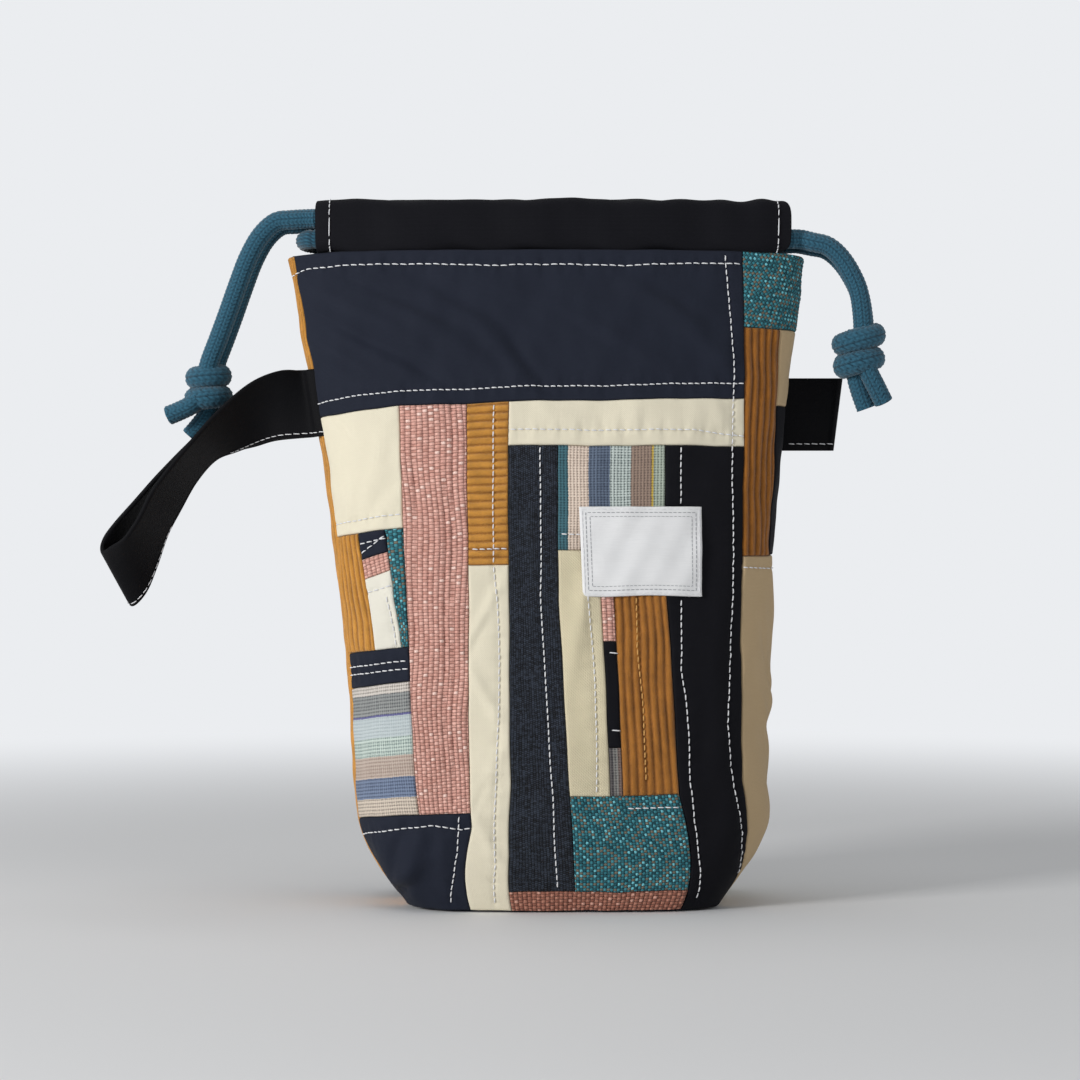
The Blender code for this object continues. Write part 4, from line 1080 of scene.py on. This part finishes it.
def label_skew(over, up):
    """The label was cut a little out of square."""
    width, height = LABEL_SIZE
    wide = 1.5 * (up / height + 0.5) * (0.5 - over / width)
    sag = 0.25 * np.sin(over * 0.19 + 1.0)
    below = 1.1 * (0.5 - up / height)
    return LABEL_CENTRE[0] + over - wide - below + 0.5, LABEL_CENTRE[1] + up + sag * (0.5 - up / height)


def label_rise(over, up):
    """Soft puckers between the seam's stitches and in the middle."""
    wave = 0.20 * np.sin(over * 0.33 + 0.6) * np.cos(up * 0.25) + 0.12 * np.sin(over * 0.62 - up * 0.30 + 2.0)
    return 0.85 + wave + 0.10 * np.sin(up * 0.7 + 1.0)


def on_label(s, z, out):
    """A place over the patches, which hides their small dips."""
    s = np.asarray(s, float)
    z = np.asarray(z, float)
    lift = 0.6 * cloth_lift(np.full(s.shape, LABEL_CENTRE[0]), np.full(s.shape, LABEL_CENTRE[1])) + 0.3
    return (smooth_place(s, z) + out_of_body(s, z) * (lift + out)[..., None]) * 0.001


def on_label_face(over, up, out):
    over = np.asarray(over, float)
    up = np.asarray(up, float)
    s, z = label_skew(over, up)
    return on_label(s, z, label_rise(over, up) + out - 0.22)


# Casings, cords and tape

CASING_HEIGHT, CASING_DEPTH = 19.0, 10.4
CASING_HALF = 85.5
CASING_START = 2.0
CASING_LONG = 166.8
CASING_SHIFT = -3.5
CASING_SPREAD, CASING_SET_BACK = 4.0, 6.0
CORD_THICK = 7.0
BRAID_COLUMNS = 16
BRAID_ROW = 1.45
BRAID_LEAN = 0.75
BRAID_HOLE, BRAID_BEAD = 0.42, 0.46
BEND_LEFT = 3.7
BEND_RIGHT = 4.5
HEM_SLANT, HEM_CUT = 7.5, 14.0
HEM_LEFT, HEM_RIGHT = 4.7, 4.6
CASING_SEAT = 0.3


def mouth_curve(side, share):
    """The middle line of a casing, front or back, from left to right."""
    half_width = MOUTH_WIDTH / 2 + CASING_SPREAD
    half_depth = MOUTH_DEPTH / 2 - CASING_SET_BACK
    x = CASING_HALF * (2 * np.asarray(share, float) - 1)
    y = half_depth * (1 - np.abs(x / half_width) ** SQUARENESS[2]) ** (1 / SQUARENESS[2])
    return np.stack((x + CASING_SHIFT, side * y, np.zeros(np.shape(x))), -1)


def on_casing(side):
    """A place on a casing: millimetres along it, millimetres down round its section from the top."""
    def place(u, v, out):
        u = np.asarray(u, float)
        v = np.asarray(v, float)
        share = np.clip((u + CASING_START) / (2 * CASING_HALF), 0, 1)
        centre = mouth_curve(side, share)
        before, after = np.maximum(share - 0.01, 0), np.minimum(share + 0.01, 1)
        ahead = mouth_curve(side, after) - mouth_curve(side, before)
        ahead /= np.linalg.norm(ahead, axis=-1, keepdims=True)
        away = np.stack((-ahead[..., 1], ahead[..., 0], np.zeros(share.shape)), -1) * side
        angle = math.pi / 2 - v
        sag = 0.9 * np.clip(-np.sin(angle), 0, 1)
        half_height = CASING_HEIGHT / 2 + casing_swell(u, angle) + sag + out
        half_depth = CASING_DEPTH / 2 + casing_swell(u, angle) + out
        lower = np.clip(-np.sin(angle) * 3, 0, 1)
        over = np.sign(np.cos(angle)) * np.abs(np.cos(angle)) ** (0.70 - 0.30 * lower) * half_depth
        up = np.sign(np.sin(angle)) * np.abs(np.sin(angle)) ** (0.52 - 0.20 * lower) * half_height
        point = centre + away * over[..., None]
        point[..., 2] = HEIGHT + CASING_SEAT + CASING_HEIGHT / 2 + up
        return point * 0.001
    return place


def casing_swell(u, angle):
    """Gathers: small on the left, closer and deeper towards the right end."""
    drawn = np.clip((u - 90) / 80, 0, 1)
    upper = 0.5 + 0.5 * np.sin(angle)
    gather = np.sin(u * 0.50 + 1.4 * np.sin(u * 0.07)) * (0.06 + 0.55 * drawn ** 2 * upper)
    slack = 0.26 * np.sin(u * 0.083 + 0.5 * angle) + 0.30 * np.sin(u * 0.16 - 1.6 * angle + 2.0)
    slack += 0.30 * np.sin(u * 0.27 + 2.3 * angle) * np.clip(1.2 - upper, 0, 1)
    return gather + slack - 0.5


def casing(name, side):
    """A tunnel of black cloth with a hem at each end, slanted at the right."""
    place = on_casing(side)
    stations = np.concatenate(([0, 0.3, 0.8], np.linspace(1.6, CASING_LONG - 1.6, 150),
                               [CASING_LONG - 0.8, CASING_LONG - 0.3, CASING_LONG]))
    sides = 44
    around = np.linspace(0, 2 * math.pi, sides, endpoint=False)
    v, u = np.meshgrid(around, stations)
    cut = np.clip((u - (CASING_LONG - HEM_CUT)) / HEM_CUT, 0, 1) * (1 - np.cos(math.pi / 2 - v)) / 2
    u = u - HEM_SLANT * cut
    shells = [place(u, v, -depth) for depth in (0.0, 1.0)]
    count = u.size
    rows = len(stations)
    points = np.vstack([shell.reshape(-1, 3) for shell in shells])
    outer = grid_faces(sides, rows, 0, side > 0, True)
    inner = grid_faces(sides, rows, count, side < 0, True)
    first = np.arange(sides)
    after = np.roll(first, -1)
    low = np.stack((first, after, after + count, first + count), 1)
    last = (rows - 1) * sides
    high = np.stack((after + last, first + last, first + last + count, after + last + count), 1)
    ends = np.vstack((low, high))
    faces = np.vstack((outer, inner, ends[:, ::-1] if side < 0 else ends))
    spot = np.stack((u, v * 7, np.zeros(u.shape)), -1).reshape(-1, 3)
    piece = make_mesh(name + "_cloth", points, faces, np.vstack((spot, spot)), COTTON_BLACK)
    dress(piece, "black_cotton", name)
    for end, at in (("left", HEM_LEFT), ("right", CASING_LONG - HEM_RIGHT)):
        hem = [(at, 0.35), (at + 0.3, 1.2), (at + 0.2, 2.2), (at, 2.85)]
        stitch_ring(name + "_hem_" + end, place, hem)


def stitch_ring(name, place, line):
    """Stitches on a casing's hem; the second number is an angle, so it is spread by the section's size."""
    spread = 8.0

    def scaled(u, v, out):
        return place(u, np.asarray(v) / spread, out)

    stitch_run(name, scaled, [(u, v * spread) for u, v in line], THREAD_CLOTH, "white_label", 2.2, 0.2)


def frames_along(path):
    """Directions across a path that turn as little as they can."""
    ahead = np.gradient(path, axis=0)
    ahead /= np.linalg.norm(ahead, axis=1, keepdims=True)
    across = np.zeros(path.shape)
    start = np.cross(ahead[0], (0.0, 0.0, 1.0))
    if np.linalg.norm(start) < 0.2:
        start = np.cross(ahead[0], (0.0, 1.0, 0.0))
    across[0] = start / np.linalg.norm(start)
    for index in range(1, len(path)):
        side = across[index - 1] - ahead[index] * np.dot(across[index - 1], ahead[index])
        across[index] = side / np.linalg.norm(side)
    return ahead, across, np.cross(ahead, across)


def braid(route, radius, sides=56, step=0.42, tall=1.0):
    """A knitted cotton cord: rows of slanting stitches round a tube; the route is in millimetres."""
    path = curve_through(route, step)
    _, across, above = frames_along(path)
    run = np.concatenate(([0], np.cumsum(np.linalg.norm(np.diff(path, axis=0), axis=1))))
    angle = np.linspace(0, 2 * math.pi, sides, endpoint=False)
    turn, length = np.meshgrid(angle, run)
    column = turn / (2 * math.pi) * BRAID_COLUMNS
    inside = column - np.floor(column)
    lean = np.where(np.mod(np.floor(column), 2) > 0.5, inside, 1 - inside)
    row = length / BRAID_ROW + lean * BRAID_LEAN
    rounded = np.sqrt(np.sin(math.pi * np.clip(inside * 0.94 + 0.03, 0, 1)))
    bead = np.abs(np.sin(math.pi * row)) ** 0.55 * rounded
    reach = radius - BRAID_HOLE + BRAID_BEAD * bead
    points = path[:, None, :] + reach[..., None] * (
        np.cos(turn)[..., None] * across[:, None, :] + tall * np.sin(turn)[..., None] * above[:, None, :]
    )
    rows = len(path)
    faces = [list(face) for face in grid_faces(sides, rows, 0, False, True)]
    faces.append(list(range(sides))[::-1])
    faces.append(list(range((rows - 1) * sides, rows * sides)))
    spot = np.stack((turn * radius, length, bead), -1).reshape(-1, 3)
    return points.reshape(-1, 3) * 0.001, faces, spot, path * 0.001


def cord_piece(name, *braids):
    """One piece of one or more braids."""
    faces = []
    start = 0
    for points, own_faces, _, _ in braids:
        faces += [[corner + start for corner in face] for face in own_faces]
        start += len(points)
    points = np.vstack([made[0] for made in braids])
    spots = np.vstack([made[2] for made in braids])
    return make_mesh(name, points, faces, spots, CORD_CLOTH)


def cord_level(layer):
    """Height of a cord in its casing: it lies on the cloth, or on the other cord."""
    return HEIGHT + CASING_SEAT + 1.0 + 0.6 + CORD_THICK / 2 + layer * (CORD_THICK + 0.3)


def drawstring(name, layer, knot_side):
    """A cord through both casings, turned back at the side away from its knot."""
    first, last, reach = (0.0, 0.953, BEND_RIGHT) if knot_side < 0 else (1.0, 0.0, BEND_LEFT)
    shares = np.linspace(first, last, 22)
    front = mouth_curve(-1, shares)
    back = mouth_curve(1, shares[::-1])
    turn = front[-1]
    radius = abs(turn[1])
    bend = []
    for index in range(1, 8):
        angle = math.pi * index / 8
        bend.append((turn[0] - knot_side * math.sin(angle) * reach, -radius * math.cos(angle), 0.0))
    route = np.vstack((front, bend, back))
    route[:, 2] = cord_level(layer)
    piece = cord_piece(name + "_cord", braid(route, CORD_THICK / 2, 32, 0.8))
    dress(piece, "blue_cord", name)


# Routes of the hanging cords, as chosen points, in millimetres
LEFT_ROUTE = (
    (-97.0, 243.4), (-102.5, 242.6), (-107.8, 237.8), (-112.2, 230.0), (-116.0, 220.0), (-119.5, 210.0),
    (-122.8, 201.0), (-125.8, 193.0), (-127.2, 187.0),
)
RIGHT_ROUTE = ((89.5, 235.2), (94.5, 233.8), (99.0, 230.0), (103.0, 224.0), (106.0, 216.5), (107.3, 205.5),
               (106.6, 200.0))
LEFT_KNOT = (-127.5, -1.0, 184.0)
RIGHT_KNOT = (105.5, -8.5, 196.5)


def strand_route(layer, knot_side, side, route, knot):
    """Out of the casing and down to the knot, a little apart from its neighbour."""
    start = mouth_curve(side, 1.0 if knot_side > 0 else 0.0)
    before = mouth_curve(side, 0.97 if knot_side > 0 else 0.03)
    ahead = (start - before) / np.linalg.norm(start - before)
    level = cord_level(layer)
    points = []
    for run in (-1.0, 3.0):
        spot = start + ahead * run
        points.append((spot[0], spot[1], level))
    for index, (x, z) in enumerate(route):
        ease = ((index + 1) / len(route)) ** 0.7
        points.append((x + side * 0.8 * ease, start[1] + (side * 3.6 + knot[1] - start[1]) * ease, z))
    return points


def hanging_cords():
    """The four free ends and the two knots that tie them in pairs."""
    for side_name, layer, knot_side, route, knot in (
        ("left", 1, -1, LEFT_ROUTE, LEFT_KNOT), ("right", 0, 1, RIGHT_ROUTE, RIGHT_KNOT)
    ):
        tied = knot_piece(side_name, knot)
        for side, word in ((-1, "front"), (1, "back")):
            points = strand_route(layer, knot_side, side, route, knot)
            name = "cord_end_" + side_name + "_" + word
            strand = braid(points, CORD_THICK / 2)
            path = strand[3]
            piece = cord_piece(name + "_cord", strand)
            dress(piece, "blue_cord", name)
            length = float(np.linalg.norm(np.diff(path, axis=0), axis=1).sum())
            tuple(path[0])
            [tuple(point) for point in path]


# Each knot: its wraps (level, reach, tilt, turn), their half thickness, how much taller they are, how they
# climb, and its two tails
KNOTS = {
    "left": (
        ((3.6, 4.7, 0.06, 0.5), (-3.9, 5.2, 0.10, 2.6)), 3.75, 1.10, 0.05,
        (((-1.0, -2.0, -1.5), (-5.0, -4.4, -6.2), (-9.5, -4.2, -8.6), (-14.0, -3.4, -10.4)),
         ((1.5, 1.0, -2.0), (0.0, 2.0, -8.5), (-3.5, 3.0, -13.5), (-7.0, 3.2, -17.6))),
    ),
    "right": (
        ((3.9, 5.9, 0.28, 0.9), (-3.9, 5.6, 0.26, 2.2)), 3.8, 1.13, 0.06,
        (((1.0, -2.4, -2.0), (3.2, -3.6, -8.0), (5.8, -3.0, -13.0), (8.6, -1.8, -18.4)),
         ((-1.0, 0.5, -2.0), (-0.8, 0.6, -9.0), (0.6, 0.8, -14.5), (2.8, 1.0, -20.6))),
    ),
}
KNOT_CORE = ((1.5, 0.5, 6.5), (0.5, 0.5, 2.5), (0.0, 0.5, -2.5), (-0.5, 0.0, -7.5))


def knot_wrap(level, reach, tilt, turn, climb):
    """One turn of cord round the knot and a little more, with both its ends tucked in."""
    loop = []
    for index in range(17):
        angle = 2 * math.pi * index / 13 + turn
        inward = 1 - 0.45 * (index in (0, 16)) - 0.12 * (index in (1, 15))
        x = reach * inward * math.cos(angle)
        y = 0.90 * reach * inward * math.sin(angle)
        loop.append((x, y, level + tilt * x + climb * (index - 8)))
    return loop


def knot_piece(side_name, centre):
    """Both cord ends tied in one knot: two fat wraps round a core, and two short tails."""
    wraps, wrap_half, tall, climb, tails = KNOTS[side_name]
    cords = [(knot_wrap(*wrap, climb), wrap_half, tall) for wrap in wraps]
    cords += [(route, CORD_THICK / 2, 1.0) for route in (KNOT_CORE, *tails)]
    braids = [braid(np.array(route) + centre, half, 44, 0.42, high) for route, half, high in cords]
    piece = cord_piece("knot_" + side_name + "_cord", *braids)
    return dress(piece, "blue_cord", "knot_" + side_name)


# The tape's route away from its seam: a place on it and the direction across it
STRAP_ROUTE = (
    ((-91.9, -8.6, 178.0), (0.00, 0.00, 1.00)), ((-101.0, -9.5, 177.2), (0.00, -0.15, 0.98)),
    ((-109.5, -10.0, 174.4), (-0.05, -0.45, 0.88)), ((-118.8, -10.0, 168.6), (-0.12, -0.75, 0.62)),
    ((-127.5, -9.7, 161.8), (-0.19, -0.92, 0.30)), ((-134.8, -9.2, 153.5), (-0.20, -0.93, 0.27)),
    ((-141.6, -8.7, 143.3), (-0.28, -0.90, 0.27)), ((-146.7, -8.2, 133.5), (-0.30, -0.90, 0.22)),
    ((-151.2, -7.8, 124.3), (-0.36, -0.80, 0.40)), ((-155.8, -6.2, 118.0), (-0.42, -0.55, 0.66)),
    ((-159.8, -3.2, 115.2), (-0.38, -0.42, 0.80)), ((-160.6, 0.8, 119.5), (-0.34, -0.52, 0.76)),
    ((-157.2, 1.4, 128.5), (-0.24, -0.80, 0.52)), ((-151.0, 0.4, 138.5), (-0.16, -0.93, 0.32)),
    ((-144.0, -1.6, 147.5), (-0.10, -0.95, 0.26)), ((-136.6, -3.4, 155.2), (-0.08, -0.95, 0.26)),
    ((-127.6, -4.6, 163.0), (-0.06, -0.92, 0.38)), ((-118.5, -5.2, 169.6), (-0.04, -0.72, 0.68)),
    ((-110.0, -5.8, 174.0), (-0.02, -0.40, 0.90)), ((-102.0, -6.0, 176.8), (0.00, -0.12, 0.99)),
    ((-91.9, -6.0, 178.0), (0.00, 0.00, 1.00)),
)
# Between these distances along it the tape turns over and its thread is out of sight
STRAP_SUNK = (44.0, 82.0)
STRAP_WIDTH = 24.5
STRAP_LEVEL = 178.0
STRAP_THICK = 1.7
TAPE_EDGE = 1.5
TAB_TUCK = 4.0
TAB_FOLD_GAP = 0.15
TAB_STRETCH, TAB_FLARE = 1.02, 0.20
TAB_THREAD_LEVEL = 2.4


def seam_ring(aside, out):
    """Middle and width direction of the tape where it leaves the left seam."""
    high, low = STRAP_LEVEL + STRAP_WIDTH / 2, STRAP_LEVEL - STRAP_WIDTH / 2
    levels = np.array((low, high))
    ends = on_body(along(LEFT_SEAM, levels) + aside, levels, out) * 1000
    way = ends[1] - ends[0]
    return np.concatenate(((ends[0] + ends[1]) / 2, way / np.linalg.norm(way)))


def strap_frames():
    middle = [np.array(place + way) for place, way in STRAP_ROUTE[1:-1]]
    front = [seam_ring(3.0, -3.0), seam_ring(0.8, -1.2), seam_ring(-1.6, 1.0), seam_ring(-4.5, 3.0)]
    back = [seam_ring(-4.5, 1.2), seam_ring(-1.6, -0.8), seam_ring(0.8, -3.0), seam_ring(3.0, -4.8)]
    both = curve_through(front + middle + back, 0.8)
    centre = both[:, :3]
    way = both[:, 3:]
    way /= np.linalg.norm(way, axis=1, keepdims=True)
    ahead = np.gradient(centre, axis=0)
    ahead /= np.linalg.norm(ahead, axis=1, keepdims=True)
    out = np.cross(ahead, way)
    out /= np.linalg.norm(out, axis=1, keepdims=True)
    return centre, way, out


def wrist_strap():
    centre, way, out = strap_frames()
    rows = len(centre)
    run = np.concatenate(([0], np.cumsum(np.linalg.norm(np.diff(centre, axis=0), axis=1))))
    half = STRAP_WIDTH / 2
    half_thick = STRAP_THICK / 2
    turned = np.linspace(-math.pi / 2, math.pi / 2, 7)
    flat = np.linspace(-half + 1.4, half - 1.4, 16)
    section_points = [(x, half_thick * (1 - 0.16 * math.exp(-((x + half - 1.5) / 0.8) ** 2))) for x in flat]
    edge = [(half - half_thick + half_thick * math.cos(a), -half_thick * math.sin(a)) for a in turned]
    section_points += edge
    section_points += [(x, -h) for x, h in reversed(section_points[:16])]
    section_points += [(-x, -h) for x, h in edge]
    shape = np.array(section_points)
    sides = len(shape)
    points = (
        centre[:, None, :] + way[:, None, :] * shape[None, :, :1] + out[:, None, :] * shape[None, :, 1:]
    ).reshape(-1, 3)
    faces = [list(face) for face in grid_faces(sides, rows, 0, True, True)]
    faces.append(list(range(sides)))
    faces.append(list(range((rows - 1) * sides, rows * sides))[::-1])
    spot = np.zeros((rows, sides, 3))
    spot[..., 0] = run[:, None]
    spot[..., 1] = shape[None, :, 0]
    piece = make_mesh("wrist_strap_tape", points * 0.001, faces, spot.reshape(-1, 3), TAPE)
    dress(piece, "black_tape", "wrist_strap")

    def on_strap(sign):
        def place(u, v, lift):
            at = [np.stack([np.interp(u, run, part[:, axis]) for axis in range(3)], -1) for part in
                  (centre, way, out)]
            return (at[0] + at[1] * np.asarray(v)[..., None]
                    + at[2] * (sign * (half_thick + np.asarray(lift) - 0.12))[..., None]) * 0.001
        return place

    def sunk(u, _):
        return STRAP_SUNK[0] < u < STRAP_SUNK[1]

    row = [(3.0, TAPE_EDGE - half), (run[-1] - 3.0, TAPE_EDGE - half)]
    for face, sign in (("outer", 1), ("inner", -1)):
        stitch_run("strap_stitches_" + face, on_strap(sign), row, THREAD_CLOTH, "white_label",
                   thick=STRAP_THREAD, skip=sunk)


def side_tab():
    """A short tape folded at its outer end, with both layers sewn into the seam."""
    low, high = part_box("side_tab")
    low = np.array(low) * 1000
    high = np.array(high) * 1000
    middle = (low + high) / 2
    length = high[0] - low[0]
    thick = high[1] - low[1]
    tall = high[2] - low[2]
    turn = np.linspace(math.pi / 2, -math.pi / 2, 11)
    reach = length - thick / 2
    outline = [(x, thick / 2) for x in np.linspace(-TAB_TUCK, reach, 14)]
    outline += [(reach + thick / 2 * math.cos(a), thick / 2 * math.sin(a)) for a in turn]
    outline += [(x, -thick / 2) for x in np.linspace(reach, -TAB_TUCK, 14)]
    inner = [(x, -TAB_FOLD_GAP) for x in np.linspace(-TAB_TUCK, reach, 14)]
    inner += [(reach + TAB_FOLD_GAP * math.cos(a), TAB_FOLD_GAP * math.sin(a)) for a in turn[::-1]]
    inner += [(x, TAB_FOLD_GAP) for x in np.linspace(reach, -TAB_TUCK, 14)]
    shape = np.array(outline + inner)
    ups = edged(tall, 1.2)
    rows, sides = len(ups), len(shape)
    points = np.zeros((rows, sides, 3))
    puff = 0.25 * np.sin(np.linspace(0, math.pi, rows))[:, None]
    points[..., 0] = low[0] + shape[None, :, 0] * (TAB_STRETCH + TAB_FLARE * ups[:, None] / tall)
    points[..., 1] = middle[1] + shape[None, :, 1] * (0.86 + puff)
    points[..., 2] = low[2] + ups[:, None]
    faces = [list(face) for face in grid_faces(sides, rows, 0, True, True)]
    for row, flip in ((0, False), (rows - 1, True)):
        half = len(outline)
        base = row * sides
        for index in range(half - 1):
            other = sides - 1 - index
            face = [base + index, base + index + 1, base + other - 1, base + other]
            faces.append(face[::-1] if flip else face)
    spot = np.zeros((rows, sides, 3))
    spot[..., 0] = shape[None, :, 0]
    spot[..., 1] = ups[:, None]
    piece = make_mesh("side_tab_tape", points.reshape(-1, 3) * 0.001, faces, spot.reshape(-1, 3), TAPE)
    dress(piece, "black_tape", "side_tab")

    def on_tab(u, v, out):
        x = low[0] + np.asarray(u)
        y = middle[1] - thick / 2 * 0.99 - np.asarray(out)
        return np.stack((x, y + 0 * x, low[2] + np.asarray(v)), -1) * 0.001

    row = [(0.0, TAB_THREAD_LEVEL), (length + 0.2, TAB_THREAD_LEVEL)]
    stitch_run("tab_stitches", on_tab, row, THREAD_CLOTH, "white_label", thick=STRAP_THREAD)


INSIDE_DEPTH = 1.6
# Rings of the base panel, from below to above: distance inside the lowest seam, height
BASE_RINGS = ((3.0, 0.0), (1.6, 0.05), (1.2, 0.45), (1.4, 0.95), (3.0, 1.15))


def inside_cloth():
    """The lining and its black facing, as smooth closed cloth."""
    places = np.linspace(0, GIRTH, 160, endpoint=False)
    lining_heights = np.concatenate(([2.0, 4, 7, 11, 16, 23], np.arange(32, 206, 8.0)))
    facing_heights = np.concatenate((np.arange(205.5, 229, 3.0), [230.6]))
    for name, finish, slot, heights in (
        ("lining", LINING_CLOTH, "natural_lining", lining_heights),
        ("mouth_facing", COTTON_BLACK, "black_cotton", facing_heights),
    ):
        s, z = np.meshgrid(places, heights)
        count = s.size
        shells = []
        for inward in (INSIDE_DEPTH, INSIDE_DEPTH + CLOTH):
            flat = smooth_place(s, z) - out_of_body(s, z) * inward
            shells.append(flat.reshape(-1, 3) * 0.001)
        rows, sides = s.shape
        faces = [list(f) for f in grid_faces(sides, rows, 0, False, True)]
        faces += [list(f) for f in grid_faces(sides, rows, count, True, True)]
        first = np.arange(sides)
        after = np.roll(first, -1)
        last = (rows - 1) * sides
        rim = np.stack((first + last, after + last, after + last + count, first + last + count), 1)
        faces += [list(face) for face in rim]
        if name == "lining":
            faces.append([int(i) for i in first[::-1]])
            faces.append([int(i) + count for i in first])
        else:
            faces += [list(f) for f in np.stack((after, first, first + count, after + count), 1)]
        spot = np.stack((s, z, np.zeros(s.shape)), -1).reshape(-1, 3)
        piece = make_mesh(name + "_cloth", np.vstack(shells), faces, np.vstack((spot, spot)), finish)
        dress(piece, slot, name)


def base_cloth():
    """The flat panel of the boxed base, just inside the lowest seam."""
    places = np.linspace(0, GIRTH, 96, endpoint=False)
    rings = []
    for inset, level in BASE_RINGS:
        ring = smooth_place(places, np.zeros(places.shape))
        ring[:, 0] *= 1 - 2 * inset / BASE_WIDTH
        ring[:, 1] *= 1 - 2 * inset / BASE_DEPTH
        ring[:, 2] = level
        rings.append(ring)
    points = np.vstack(rings)
    sides = len(places)
    faces = [list(face) for face in grid_faces(sides, len(rings), 0, False, True)]
    faces.append(list(range(sides))[::-1])
    faces.append(list(range((len(rings) - 1) * sides, len(rings) * sides)))
    piece = make_mesh("base_panel_cloth", points * 0.001, faces, points, COTTON_NAVY)
    dress(piece, "navy_cotton", "base_panel")


# Stage, light and camera

BACKDROP = linear(235, 237, 240)
FLOOR = linear(226, 226, 226)
AIR = (0.93, 0.96, 1.0)
AIR_STRENGTH = 0.29
FLOOR_RADIUS = 3.0
# The floor's own finish fades into the backdrop between these distances from the bag, in metres
FADE_START, FADE_END = 0.25, 0.9
# Lamps: name, place, side of the square, watts, height that it is aimed at
LAMPS = (
    ("key_left", (-1.35, -1.0, 0.55), 0.5, 21.5, 0.11), ("fill_right", (1.3, -1.1, 0.7), 1.2, 4.8, 0.12),
    ("top", (-0.2, 0.1, 1.4), 1.0, 4.5, 0.1),
)


def studio_air():
    """Soft light from all round, with the plain backdrop where the camera looks."""
    world = bpy.data.worlds.new("studio")
    bpy.context.scene.world = world
    air = Nodes(world)
    lit = air.node("ShaderNodeBackground", {}, {0: (*AIR, 1.0), 1: AIR_STRENGTH})
    seen = air.node("ShaderNodeBackground", {}, {0: (*BACKDROP, 1.0)})
    ray = air.node("ShaderNodeLightPath", {}, {})
    air.send(air.node("ShaderNodeMixShader", {}, {0: ray, 1: lit, 2: seen}), "World Output")


def floor_finish():
    """Pale and matt near the bag, and one with the backdrop further away."""
    finish = Finish("pale_floor", 0.7, 0.0, 0.5)
    finish.shader.inputs["Base Color"].default_value = (*FLOOR, 1.0)
    glow = finish.node("ShaderNodeEmission", {}, {0: (*BACKDROP, 1.0)})
    spot = finish.node("ShaderNodeTexCoord", {}, {}, "Object")
    away = finish.node("ShaderNodeVectorMath", {"operation": "LENGTH"}, {0: spot}, "Value")
    fade = finish.node(
        "ShaderNodeMapRange", {"interpolation_type": "SMOOTHSTEP"},
        {"Value": away, "From Min": FADE_START, "From Max": FADE_END},
    )
    near = finish.own("Principled BSDF")
    finish.send(finish.node("ShaderNodeMixShader", {}, {0: fade, 1: near, 2: glow}), "Material Output")
    return finish.material


def floor():
    bpy.ops.mesh.primitive_circle_add(
        vertices=96, radius=FLOOR_RADIUS, fill_type="NGON", location=(0, 0, -0.0002)
    )
    made = bpy.context.active_object
    made.name = "floor"
    made.data.materials.append(floor_finish())


def lamps():
    for name, place, size, power, aim in LAMPS:
        lamp = bpy.data.lights.new(name, "AREA")
        lamp.shape = "SQUARE"
        lamp.size = size
        lamp.energy = power
        holder = bpy.data.objects.new(name, lamp)
        bpy.context.scene.collection.objects.link(holder)
        holder.location = place
        holder.rotation_mode = "QUATERNION"
        holder.rotation_quaternion = (Vector((0.0, 0.0, aim)) - Vector(place)).to_track_quat("-Z", "Y")


def camera():
    scene = bpy.context.scene
    scene.view_settings.view_transform = "Standard"
    lens = bpy.data.cameras.new("camera")
    lens.sensor_width = SENSOR
    lens.lens = SENSOR * CAMERA_DISTANCE / (PIXELS * MM_PER_PIXEL * 0.001)
    holder = bpy.data.objects.new("camera", lens)
    scene.collection.objects.link(holder)
    holder.location = (CAMERA_SIDE, -CAMERA_DISTANCE, CAMERA_HEIGHT)
    holder.rotation_euler = (math.pi / 2, 0.0, 0.0)
    scene.camera = holder


studio_air()
floor()
lamps()
camera()
hanging_cords()
drawstring("drawstring_left", 1, -1)
drawstring("drawstring_right", 0, 1)
casing("front_casing", -1)
casing("back_casing", 1)
wrist_strap()
side_tab()
inside_cloth()
base_cloth()
patchwork()
topstitching()
label()
